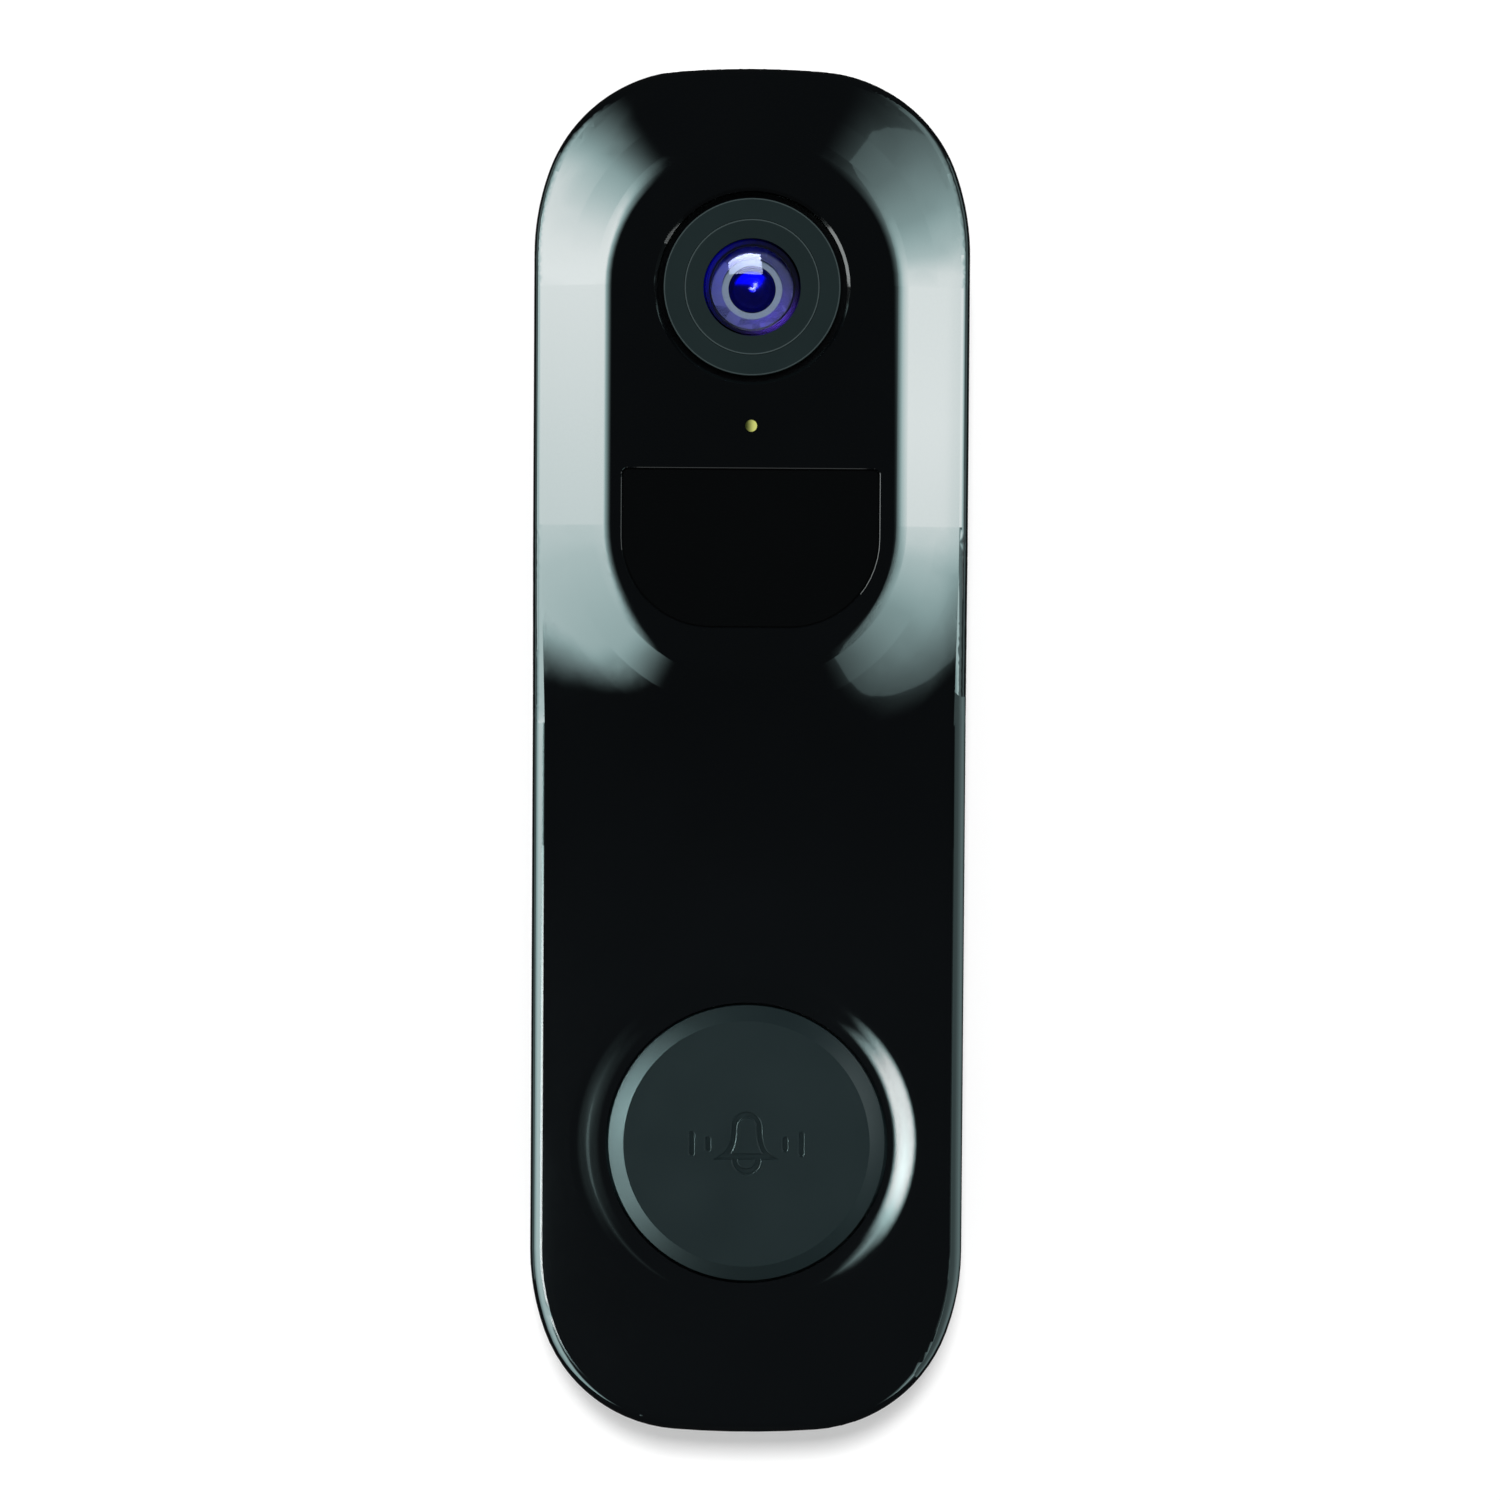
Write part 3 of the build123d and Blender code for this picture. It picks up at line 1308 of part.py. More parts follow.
with BuildPart() as audio_leads:
    for x, low in ((0, speaker_top), (microphone_x, microphone_top)):
        for side in (-1, 1):
            level_disc(low, board_bottom, audio_lead_radius, (x + side * audio_lead_spacing / 2, sound_depth))

finish(audio_leads, "audio_leads")
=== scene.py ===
from math import cos, pi, radians, sin, tan

import bpy
from mathutils import Matrix, Vector


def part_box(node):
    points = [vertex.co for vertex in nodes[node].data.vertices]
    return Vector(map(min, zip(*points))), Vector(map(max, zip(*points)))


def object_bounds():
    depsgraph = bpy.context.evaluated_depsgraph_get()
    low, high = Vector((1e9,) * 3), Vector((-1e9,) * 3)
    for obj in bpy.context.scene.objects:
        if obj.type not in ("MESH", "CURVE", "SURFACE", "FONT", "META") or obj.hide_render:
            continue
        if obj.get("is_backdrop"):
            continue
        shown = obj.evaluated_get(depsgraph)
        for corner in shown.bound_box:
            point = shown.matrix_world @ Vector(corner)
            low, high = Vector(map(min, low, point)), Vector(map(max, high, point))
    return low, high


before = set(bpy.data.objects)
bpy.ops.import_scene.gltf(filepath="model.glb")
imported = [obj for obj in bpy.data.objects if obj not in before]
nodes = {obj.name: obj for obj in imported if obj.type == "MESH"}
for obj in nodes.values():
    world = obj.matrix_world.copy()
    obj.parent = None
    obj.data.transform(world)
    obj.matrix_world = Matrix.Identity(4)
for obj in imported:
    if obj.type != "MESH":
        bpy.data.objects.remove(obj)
cad_low, cad_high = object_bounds()
MM = 0.001
print(f"{len(nodes)} solids, {(cad_high - cad_low) * 1000} mm")

# %% [markdown]
# ## Numbers that vary over a surface
#
# A procedural finish is a sum of small things: a noise here, a mask there. Adding Math nodes by
# hand hides that sum, so this class wraps a socket and lets Python's own operators add the nodes.
# Numbers alone never need it, because Python works them out before any node is made.
# %% The class for shader sums


class Varying:
    """A socket whose value changes over a surface; sums on it add Math nodes to its finish."""

    def __init__(self, finish, socket):
        self.finish = finish
        self.socket = socket

    def __add__(self, other):
        return self.finish.math("ADD", self, other)

    def __sub__(self, other):
        return self.finish.math("SUBTRACT", self, other)

    def __rsub__(self, other):
        return self.finish.math("SUBTRACT", other, self)

    def __mul__(self, other):
        return self.finish.math("MULTIPLY", self, other)

    def __truediv__(self, other):
        return self.finish.math("DIVIDE", self, other)

    def __gt__(self, other):
        return self.finish.math("GREATER_THAN", self, other)

    def __lt__(self, other):
        return self.finish.math("LESS_THAN", self, other)

    def __abs__(self):
        return self.finish.math("ABSOLUTE", self)

    def zigzag(self, reach):
        """Rise from 0 to 1 over this many metres, fall back over as many, and so on."""
        return self.finish.math("PINGPONG", self, reach) / reach

    __radd__ = __add__
    __rmul__ = __mul__


# %% [markdown]
# ## A finish
#
# Every finish is one material. One method adds any node: its settings go first, because a setting
# such as a Mix node's data type decides which sockets there are, and then come the sockets, each a
# constant or a link.
# %% The class for finishes


class Finish:
    """A material under construction."""

    def __init__(self, name, owner=None):
        self.material = owner or bpy.data.materials.new(name)
        self.material.use_nodes = True
        self.tree = self.material.node_tree
        self.tree.nodes.clear()

    def node(self, kind, settings=None, sockets=None, out=0):
        """Add one node and return the wanted output."""
        made = self.tree.nodes.new("ShaderNode" + kind)
        for key, value in (settings or {}).items():
            if key == "stops":
                ramp = made.color_ramp.elements
                ramp.remove(ramp[1])
                ramp[0].position, ramp[0].color = value[0]
                for position, colour in value[1:]:
                    ramp.new(position).color = colour
            else:
                setattr(made, key, value)
        for key, value in (sockets or {}).items():
            if isinstance(value, Varying):
                self.tree.links.new(value.socket, made.inputs[key])
            else:
                made.inputs[key].default_value = value
        return Varying(self, made.outputs[out]) if made.outputs else None

    def place(self):
        """Position on the piece itself, in metres."""
        return self.node("TexCoord", out="Object")

    def axis(self, name, at=None):
        """One coordinate of the position on the piece, or of another position."""
        return self.node("SeparateXYZ", {}, {0: at or self.place()}, out=name)

    def distance(self, at, point, along=(1, 1, 1)):
        """Distance of a position from a fixed point, with 0 for an axis that doesn't count."""
        off = self.node("VectorMath", {"operation": "SUBTRACT"}, {0: at, 1: point})
        if along != (1, 1, 1):
            off = self.node("VectorMath", {"operation": "MULTIPLY"}, {0: off, 1: along})
        return self.node("VectorMath", {"operation": "LENGTH"}, {0: off}, out="Value")

    def math(self, operation, *values):
        """One step of arithmetic."""
        return self.node("Math", {"operation": operation}, dict(enumerate(values)))

    def smooth(self, value, low, high, to_low=0.0, to_high=1.0):
        """Smooth step between two values, from one result to another."""
        return self.node("MapRange", {"interpolation_type": "SMOOTHSTEP"}, {
            "Value": value, "From Min": low, "From Max": high, "To Min": to_low, "To Max": to_high})

    def noise(self, size, detail=2.0, rough=0.5, stretch=(1, 1, 1)):
        """Noise whose blobs are about this many metres across."""
        at = self.place()
        if stretch != (1, 1, 1):
            at = self.node("Mapping", {}, {"Vector": at, "Scale": stretch})
        return self.node("TexNoise", {}, {
            "Vector": at, "Scale": 1 / size, "Detail": detail, "Roughness": rough}, out="Fac")

    def blend(self, mask, low, high):
        """Colour from one shade to another by a mask."""
        return self.node("Mix", {"data_type": "RGBA"}, {0: mask, 6: low, 7: high}, out=2)

    def mottled(self, mask, colour, low, high):
        """One colour between a weaker and a stronger strength of it, by a mask."""
        return self.blend(mask, scaled(colour, low), scaled(colour, high))

    def relief(self, height, depth):
        """Bump of this depth in metres."""
        return self.node("Bump", {}, {"Strength": 1.0, "Distance": depth, "Height": height})

    def close(self, shader):
        """Let the material show this shader."""
        self.node("OutputMaterial", {}, {"Surface": shader})
        return self.material

    def principled(self, sockets):
        """Close the finish with the general surface shader."""
        return self.close(self.node("BsdfPrincipled", {}, sockets))

# %% [markdown]
# ## Colours and unevenness
#
# Colours are written as a screen shows them, from 0 to 255, and turned into the light they stand
# for. No real surface is the same all over, so a colour can be made lighter or darker, and a
# roughness can stray from its average by a noise. The last helper puts a finish on whole solids.
# %% Helpers for finishes


def shade(red, green, blue):
    """Linear colour from the usual 0 to 255 values, by the sRGB curve."""
    return (*[v / 255 / 12.92 if v <= 10 else ((v / 255 + 0.055) / 1.055) ** 2.4
              for v in (red, green, blue)], 1.0)


def scaled(colour, factor):
    """The same colour, lighter or darker."""
    return (*[min(1.0, c * factor) for c in colour[:3]], 1.0)


def uneven(average, *parts):
    """Value that strays from its average; each part is a noise and how far that takes it."""
    value = average - sum(reach for _, reach in parts) / 2
    for noise, reach in parts:
        value = noise * reach + value
    return value


def dress(material, *names):
    """Put a finish on whole solids."""
    for name in names:
        for slot in nodes[name].material_slots:
            slot.material = material
    print(f"{material.name}: {', '.join(names)}")


# %% [markdown]
# ## Polished plastic
#
# The front housing is moulded in black plastic with a polished surface. A polished moulding is
# never quite even: the skin has a faint waviness, and handling leaves areas a little less sharp.
# Both are too small to model, so a very shallow bump and a slow change of roughness carry them. A
# clear coat on top gives the depth of lacquer.
# %% Polished front


def polished(name, colour, roughness=0.05, wave=0.25e-6):
    """Gloss plastic with a faint waviness and uneven sharpness."""
    finish = Finish(name)
    smudge = finish.noise(9 * MM, 3.0, 0.6)
    dust = finish.noise(0.35 * MM, 1.0)
    skin = finish.noise(2.2 * MM, 1.0)
    tone = finish.mottled(finish.noise(14 * MM), colour, 0.85, 1.15)
    return finish.principled({
        "Base Color": tone,
        "Roughness": uneven(roughness, (smudge, 0.05), (dust, 0.01)),
        "IOR": 1.55, "Coat Weight": 1.0, "Coat Roughness": 0.03, "Coat IOR": 1.55,
        "Normal": finish.relief(skin, wave)})


dress(polished("polished_black", shade(9, 12, 14)), "front_housing")
dress(polished("window_black", shade(6, 8, 9), roughness=0.07, wave=0.5e-6), "pir_lens")

# %% [markdown]
# ## Grained plastic
#
# Most other mouldings leave a spark-eroded tool, whose fine pits print on the plastic as an even
# grain. Two noises give it: a fine one for the pits and a broader one that changes the tone and the
# roughness.
# %% Grained mouldings


def grained(name, colour, roughness, grain=0.16 * MM, depth=6e-6, specular=0.5):
    """Plastic with a spark-eroded grain."""
    finish = Finish(name)
    pits = finish.noise(grain, 3.0, 0.6)
    cloud = finish.noise(6 * MM, 2.0)
    tone = finish.mottled(pits * 0.6 + cloud * 0.4, colour, 0.78, 1.22)
    return finish.principled({
        "Base Color": tone,
        "Roughness": uneven(roughness, (cloud, 0.1), (pits, 0.08)),
        "Specular IOR Level": specular,
        "Normal": finish.relief(pits, depth)})


dress(grained("rear_shell", shade(22, 25, 27), roughness=0.48), "rear_housing")
dress(grained("wall_plate_black", shade(26, 29, 31), roughness=0.55, grain=0.22 * MM, depth=9e-6),
      "wall_plate")
dress(grained("button_satin", shade(19, 29, 31), roughness=0.45, grain=0.12 * MM, depth=2e-6,
              specular=0.3), "button_cap")
dress(grained("lens_holder_black", shade(18, 18, 19), roughness=0.6), "lens_holder")
dress(grained("inner_black", shade(24, 24, 25), roughness=0.5), "ir_filter_carriage", "pir_shroud",
      "button_retainer")
dress(grained("switch_body", shade(30, 30, 32), roughness=0.42), "button_switch", "reset_switch")
dress(grained("switch_tip", shade(205, 203, 196), roughness=0.35, depth=2e-6), "switch_plunger")
dress(grained("reset_grey", shade(70, 73, 75), roughness=0.4, depth=3e-6), "reset_key")
dress(grained("terminal_black", shade(20, 21, 22), roughness=0.5), "terminal_block")
dress(grained("connector_white", shade(222, 218, 205), roughness=0.4, depth=2e-6), "battery_connector")
dress(grained("speaker_frame", shade(36, 37, 39), roughness=0.45), "speaker_driver")

# %% [markdown]
# ## Rubber and foam
#
# Silicone is duller than plastic and picks up lint, so its tone is mottled and its skin slightly
# uneven. The closed cells of a foam pad show as pits, which a Voronoi texture gives.
# %% Soft finishes


def silicone(name, colour):
    """Moulded silicone rubber."""
    finish = Finish(name)
    skin = finish.noise(0.5 * MM, 4.0, 0.65)
    lint = finish.noise(0.09 * MM, 0.0) > 0.72
    tone = finish.mottled(skin, colour, 0.75, 1.25)
    tone = finish.blend(lint * 0.25, tone, scaled(colour, 3.0))
    return finish.principled({
        "Base Color": tone, "Roughness": uneven(0.62, (skin, 0.2)), "Specular IOR Level": 0.35,
        "Normal": finish.relief(skin, 8e-6)})


def foam(name, colour):
    """Closed-cell foam."""
    finish = Finish(name)
    cells = finish.node("TexVoronoi", {"feature": "F1"}, {
        "Vector": finish.place(), "Scale": 1 / (0.3 * MM)})
    tone = finish.mottled(cells, colour, 0.5, 1.4)
    return finish.principled({
        "Base Color": tone, "Roughness": 0.95 - cells * 0.1, "Specular IOR Level": 0.2,
        "Normal": finish.relief(cells, 60e-6)})


dress(silicone("black_silicone", shade(24, 25, 26)), "housing_seal", "port_cover", "microphone_boot")
dress(silicone("grey_silicone", shade(96, 98, 100)), "button_gasket")
dress(foam("black_foam", shade(40, 40, 42)), "battery_pad", "speaker_gasket")

# %% [markdown]
# ## Metals
#
# Small metal parts are turned, stamped or plated. Fine lines run one way on a stamped sheet, so the
# noise is stretched along one axis; on a turned part they are too fine to see and only soften the
# reflection.
# %% Metal finishes


def metal(name, colour, roughness, stretch=(1, 1, 1), depth=1.5e-6):
    """Machined or plated metal with fine lines and uneven tarnish."""
    finish = Finish(name)
    lines = finish.noise(0.12 * MM, 3.0, 0.6, stretch)
    cloud = finish.noise(1.6 * MM, 3.0, 0.6)
    tone = finish.mottled(cloud, colour, 0.7, 1.0)
    return finish.principled({
        "Base Color": tone, "Metallic": 1.0, "Roughness": uneven(roughness, (lines, 0.14), (cloud, 0.1)),
        "Normal": finish.relief(lines, depth)})


dress(metal("zinc_steel", shade(196, 198, 200), roughness=0.32), "security_screw", "camera_screws",
      "retainer_screws", "board_screws")
dress(metal("blackened_steel", shade(48, 49, 52), roughness=0.42), "housing_screws")
dress(metal("anodised_black", shade(34, 36, 40), roughness=0.38, depth=1e-6), "lens_barrel")
dress(metal("sensor_can", shade(205, 206, 204), roughness=0.26), "pir_sensor")
dress(metal("tinned", shade(214, 214, 210), roughness=0.3, stretch=(1, 0.08, 1)), "shield_can",
      "terminal_pins", "microphone")
dress(metal("brass", shade(214, 178, 96), roughness=0.28), "terminal_screws", "wifi_antenna")
dress(metal("port_steel", shade(176, 178, 182), roughness=0.28, stretch=(0.1, 1, 1)), "usb_socket")

# %% [markdown]
# ## Circuit boards
#
# A board is green glass-fibre under a solder mask. Copper tracks show through the mask as a
# slightly lighter, slightly raised pattern, and the bare pads and holes are tinned. Tracks run
# square to the board's edges, so bricks laid in both directions give a believable net of them, and
# round spots on a grid give the pads.
# %% Board finish


def board(name, mask, track, pad):
    """Solder mask over copper tracks, with tinned spots."""
    finish = Finish(name)
    across, up = finish.axis("X"), finish.axis("Z")
    flat = finish.node("CombineXYZ", {}, {"X": across, "Y": up})
    turned_flat = finish.node("CombineXYZ", {}, {"X": up, "Y": across})
    net = [finish.node("TexBrick", {"offset": 0.37, "squash_frequency": 3}, {
        "Vector": way, "Scale": 1.0, "Mortar Size": 0.13 * MM, "Brick Width": 5.3 * MM,
        "Row Height": 0.9 * MM, "Color1": (0, 0, 0, 1), "Color2": (0, 0, 0, 1), "Mortar": (1, 1, 1, 1)},
        out="Fac") for way in (flat, turned_flat)]
    where = finish.noise(6 * MM, 0.0) > 0.5
    tracks = net[0] * where + net[1] * (1 - where)
    spots = finish.node("TexVoronoi", {"feature": "F1", "distance": "EUCLIDEAN"},
                        {"Vector": flat, "Scale": 1 / (1.9 * MM), "Randomness": 0.55})
    pads = spots < 0.16
    weave = finish.noise(0.25 * MM, 1.0)
    tone = finish.mottled(weave, mask, 0.85, 1.15)
    tone = finish.blend(tracks * 0.8, tone, track)
    tone = finish.blend(pads, tone, pad)
    return finish.principled({
        "Base Color": tone, "Metallic": pads * 0.9, "Roughness": 0.42 - pads * 0.12 + weave * 0.06,
        "Coat Weight": 0.3, "Normal": finish.relief(tracks + pads, 25e-6)})


dress(board("board_green", mask=shade(16, 66, 40), track=shade(38, 104, 62), pad=shade(205, 205, 198)),
      "main_board", "camera_board")
dress(board("board_black", mask=shade(20, 22, 24), track=shade(40, 43, 46), pad=shade(205, 190, 120)),
      "ir_led_board")

# %% [markdown]
# ## Ribbon and wires
#
# The ribbon is an amber film with copper lines in it. A pair of wires is one solid in two colours,
# so a mask tells its left wire from its right one.
# %% Ribbon and wires


def ribbon_film():
    """Amber film over copper lines that run along it."""
    finish = Finish("amber_film")
    lines = finish.axis("X").zigzag(0.25 * MM)
    line = lines > 0.45
    tone = finish.blend(line, shade(150, 84, 14), shade(196, 120, 48))
    return finish.principled({
        "Base Color": finish.blend(finish.noise(1.5 * MM) * 0.3, tone, shade(110, 60, 10)),
        "Metallic": line * 0.5, "Roughness": 0.24 + finish.noise(2 * MM) * 0.1, "Coat Weight": 0.5,
        "Normal": finish.relief(lines, 15e-6)})


def two_wires(name, middle, left, right):
    """Insulation in one colour left of the middle and another right of it."""
    finish = Finish(name)
    side = finish.axis("X") > middle
    skin = finish.noise(0.4 * MM, 3.0)
    tone = finish.blend(side, left, right)
    return finish.principled({
        "Base Color": finish.blend(skin * 0.35, tone, (0.5, 0.5, 0.5, 1.0)),
        "Roughness": 0.34 + skin * 0.15,
        "Normal": finish.relief(skin, 8e-6)})


dress(ribbon_film(), "camera_ribbon")
lead_low, lead_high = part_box("battery_lead")
dress(two_wires("battery_wires", middle=(lead_low.x + lead_high.x) / 2, left=shade(24, 24, 25),
                right=shade(176, 22, 20)), "battery_lead")
dress(two_wires("audio_wires", middle=0.0, left=shade(30, 30, 32), right=shade(190, 188, 180)),
      "audio_leads")

# %% [markdown]
# ## Wrap, chips and cone
#
# Three more small things: the blue shrink-wrap of the cells, matt chip packages, and the pressed
# film of the speaker's cone, which has rings round its middle.
# %% Wrap, chips and cone


def shrink_wrap():
    """Heat-shrunk sleeve, drawn into fine wrinkles near its ends."""
    finish = Finish("cell_wrap")
    low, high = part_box("battery_pack")
    half = (high.z - low.z) / 2
    near_end = finish.smooth(abs(finish.axis("Z") - (low.z + half)) / half, 0.75, 1.0)
    wrinkle = finish.noise(1.2 * MM, 3.0, 0.6, (1, 1, 0.25)) * near_end
    return finish.principled({
        "Base Color": finish.blend(wrinkle, shade(20, 58, 132), shade(44, 92, 170)),
        "Roughness": 0.22 + finish.noise(3 * MM) * 0.14, "Coat Weight": 0.4,
        "Normal": finish.relief(wrinkle + finish.noise(4 * MM) * 0.3, 0.1 * MM)})


def chip_package():
    """Matt epoxy with a faint swirl from the mould."""
    finish = Finish("chip_epoxy")
    grit = finish.noise(0.08 * MM, 2.0)
    return finish.principled({
        "Base Color": finish.blend(grit, shade(22, 22, 24), shade(44, 44, 47)),
        "Roughness": 0.58 + grit * 0.15,
        "Normal": finish.relief(grit, 6e-6)})


def pressed_cone():
    """Pressed film with rings round the middle."""
    finish = Finish("cone_film")
    low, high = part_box("speaker_cone")
    rings = finish.distance(finish.place(), (low + high) / 2).zigzag(0.6 * MM)
    fibre = finish.noise(0.3 * MM, 4.0, 0.7)
    return finish.principled({
        "Base Color": finish.blend(fibre, shade(28, 27, 26), shade(58, 56, 52)),
        "Roughness": 0.5 + fibre * 0.25,
        "Normal": finish.relief(rings, 0.15 * MM)})


dress(shrink_wrap(), "battery_pack")
dress(chip_package(), "board_chips")
dress(pressed_cone(), "speaker_cone")

# %% [markdown]
# ## Glass
#
# The lens is what the eye goes to. Its front glass is clear, with a coating that takes most of the
# glare off and tints what is left. A clear piece is a mix of a see-through shader and a mirror,
# weighted by Fresnel, which lets the light in without the noise of true refraction in such a thin
# glass. Behind it lies the second glass: a deep blue dome with a ground, pale rim. These are one
# solid, so a mask by the distance from the lens's axis tells them apart.
# %% Glass

lens_low, lens_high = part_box("lens_front_element")
lens_middle = (lens_low + lens_high) / 2


def from_axis(finish):
    """Distance from the lens's axis."""
    return finish.distance(finish.place(), lens_middle, (1, 0, 1))


def circle(distance, radius, width):
    """Mask of a fine circle."""
    return abs(distance - radius) < width / 2


def clear_glass(name, through, glare):
    """Thin coated glass: see-through, with a tinted glare."""
    finish = Finish(name)
    film = finish.noise(3 * MM, 2.0)
    edge = finish.node("Fresnel", {}, {"IOR": 1.5})
    mirror_film = finish.node("BsdfGlossy", {}, {"Color": glare, "Roughness": film * 0.01 + 0.02})
    clear = finish.node("BsdfTransparent", {}, {"Color": through})
    return finish.close(finish.node("MixShader", {}, {0: edge, 1: clear, 2: mirror_film}))


def blue_dome(dome_radius, stop_radius):
    """Second glass: coated dome inside a ground rim, with a painted highlight where the stop's edge
    shows.
    """
    finish = Finish("second_glass")
    film = finish.noise(1.2 * MM, 1.0)
    grit = finish.noise(0.1 * MM, 2.0)
    distance = from_axis(finish)
    dome = distance < dome_radius
    line = circle(distance, dome_radius, 0.09 * MM)
    stop = circle(distance, stop_radius, 0.06 * MM)
    coat = finish.blend(film, shade(36, 36, 215), shade(60, 60, 255))
    # painted highlight: a light circle where the edge of the stop shows through the glass
    coat = finish.blend(stop * 0.6, coat, shade(150, 150, 255))
    rim = finish.blend(grit, shade(150, 170, 146), shade(184, 204, 176))
    tone = finish.blend(line, finish.blend(dome, rim, coat), shade(4, 4, 12))
    return finish.principled({
        "Base Color": tone, "Metallic": dome * 0.95, "Roughness": 0.55 - dome * 0.4 + film * 0.05,
        "Coat Weight": dome * 1.0, "Coat Roughness": 0.03})


dress(clear_glass("front_glass", through=shade(240, 240, 255), glare=shade(225, 225, 255)),
      "lens_front_element")
dress(blue_dome(dome_radius=2.38 * MM, stop_radius=1.1 * MM), "lens_second_element")
dress(clear_glass("rear_glass", through=shade(200, 205, 240), glare=shade(90, 90, 255)),
      "lens_rear_element")
dress(clear_glass("filter_glass", through=shade(150, 190, 180), glare=shade(230, 110, 130)),
      "ir_filter_glass")

# %% [markdown]
# ## Rings round the glass
#
# Turned rings hold the glasses; the fine grooves round their bore catch the light. The two satin
# rings in front carry a painted highlight, a light circle on one edge. The outer one has a flange
# deep in the gap round it, coloured near black as painted shade, so that the gap reads as a shadow.
# %% Rings


def grooved_ring(name, colour, pitch, metallic, roughness):
    """Turned ring: fine grooves round the lens's axis."""
    finish = Finish(name)
    groove = from_axis(finish).zigzag(pitch / 2)
    cloud = finish.noise(0.7 * MM, 3.0, 0.6)
    tone = finish.mottled(groove * 0.5 + cloud * 0.5, colour, 0.7, 1.25)
    return finish.principled({
        "Base Color": tone, "Metallic": metallic, "Roughness": roughness + cloud * 0.1,
        "Normal": finish.relief(groove, 8e-6)})


def ring_satin(name, painted_shade_beyond, painted_highlight_radius):
    """Satin ring with a painted highlight on one edge and painted shade on the flange deep in the gap."""
    finish = Finish(name)
    pits, cloud = finish.noise(0.1 * MM, 2.0), finish.noise(6 * MM, 3.0)
    distance = from_axis(finish)
    tone = finish.blend(pits * 0.5 + cloud * 0.5, shade(23, 34, 35), shade(30, 43, 44))
    # painted highlight: a light circle on the edge, where light catches it
    tone = finish.blend(circle(distance, painted_highlight_radius, 0.12 * MM) * 0.8, tone, shade(66, 78, 79))
    return finish.principled({
        # painted shade: near black beyond the face, on the flange deep in the gap round the ring
        "Base Color": finish.blend(distance < painted_shade_beyond, shade(3, 3, 4), tone),
        "Roughness": 0.5 + pits * 0.1,
        "Specular IOR Level": 0.25, "Normal": finish.relief(pits, 2e-6)})


dress(ring_satin("trim_satin", painted_shade_beyond=8.98 * MM, painted_highlight_radius=8.9 * MM), "camera_trim_ring")
dress(ring_satin("bezel_satin", painted_shade_beyond=20 * MM, painted_highlight_radius=6.79 * MM), "lens_bezel")
dress(grooved_ring("spacer_grey", shade(108, 116, 122), pitch=0.11 * MM, metallic=0.0, roughness=0.5),
      "lens_spacer_ring")
dress(grooved_ring("retainer_anodised", shade(24, 26, 34), pitch=0.16 * MM, metallic=0.5, roughness=0.34),
      "lens_retaining_ring")
dress(grained("stop_black", shade(8, 8, 9), roughness=0.7), "aperture_stop")

# %% [markdown]
# ## Sensor and small lights
#
# The image sensor is a fine grid with a painted reflection: bands of colour swept across it. The
# infrared lights and the status light are clear resin over something darker, and the tip of the
# light pipe has painted light, lighter at its right-hand side.
# %% Sensor and small lights


def sensor_surface():
    """Image sensor: a fine grid, with a painted reflection of the colours such a grid throws back."""
    finish = Finish("sensor_surface")
    grid = finish.node("TexChecker", {}, {"Vector": finish.place(), "Scale": 1 / (0.05 * MM)}, out="Fac")
    # painted reflection: diagonal bands of rainbow colour across the sensor
    sweep = finish.math("FRACT", finish.axis("X") / (3 * MM) + finish.axis("Z") / (4 * MM))
    hue = finish.node("ValToRGB", {"stops": [(0.0, shade(40, 120, 70)), (0.5, shade(60, 60, 140)),
                                            (1.0, shade(140, 60, 90))]}, {0: sweep})
    return finish.principled({
        "Base Color": finish.blend(grid * 0.3, hue, shade(20, 22, 26)), "Metallic": 0.4,
        "Roughness": 0.2 + grid * 0.05, "Coat Weight": 1.0})


def tinted_resin(name, colour, roughness=0.12, coat=1.0):
    """Coloured clear resin over something darker."""
    finish = Finish(name)
    cloud = finish.noise(0.5 * MM, 2.0)
    return finish.principled({
        "Base Color": finish.mottled(cloud, colour, 0.7, 1.3),
        "Roughness": roughness + cloud * 0.08, "Coat Weight": coat, "Coat Roughness": 0.04})


def lit_tip(name, dim, bright, reach):
    """Tip of the light pipe, with painted light: lighter at its right-hand side, darker at its left."""
    finish = Finish(name)
    low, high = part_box("status_light_pipe")
    cloud = finish.noise(0.3 * MM, 2.0)
    # painted highlight and shade: the tip goes from dark at its left to light at its right
    across = (finish.axis("X") - (low.x + high.x) / 2) / reach + (cloud - 0.5) * 0.3
    return finish.principled({
        "Base Color": finish.blend(finish.smooth(across, -1.0, 0.8), dim, bright),
        "Roughness": 0.2 + cloud * 0.08,
        "Coat Weight": 1.0, "Coat Roughness": 0.04})


dress(sensor_surface(), "image_sensor")
dress(tinted_resin("infrared_resin", shade(34, 22, 44)), "ir_leds")
# dim and bright are the painted shade and the painted highlight of the tip
dress(lit_tip("status_resin", dim=shade(48, 56, 20), bright=shade(196, 200, 112), reach=0.55 * MM),
      "status_light_pipe")
dress(tinted_resin("phosphor", shade(226, 208, 84), roughness=0.4, coat=0.3), "status_led")

bare = [name for name, solid in nodes.items() if not all(slot.material for slot in solid.material_slots)]
print("without a finish:", bare)

# %% [markdown]
# ## The camera
#
# The lens is long and stands straight in front, a little above the middle, so the outline is nearly
# true. The distance follows from the picture's height at the front edge of the body, where the
# outline is widest.
# %% Camera

lens_length, sensor = 100.0, 36.0  # millimetres, as a camera's data takes them
picture_height = 154.07 * MM
front_edge = -23.7 * MM
eye_rise = radians(2.0)
eye_roll = radians(0.38)
aim = Vector((0.10 * MM, front_edge, 0.46 * MM))

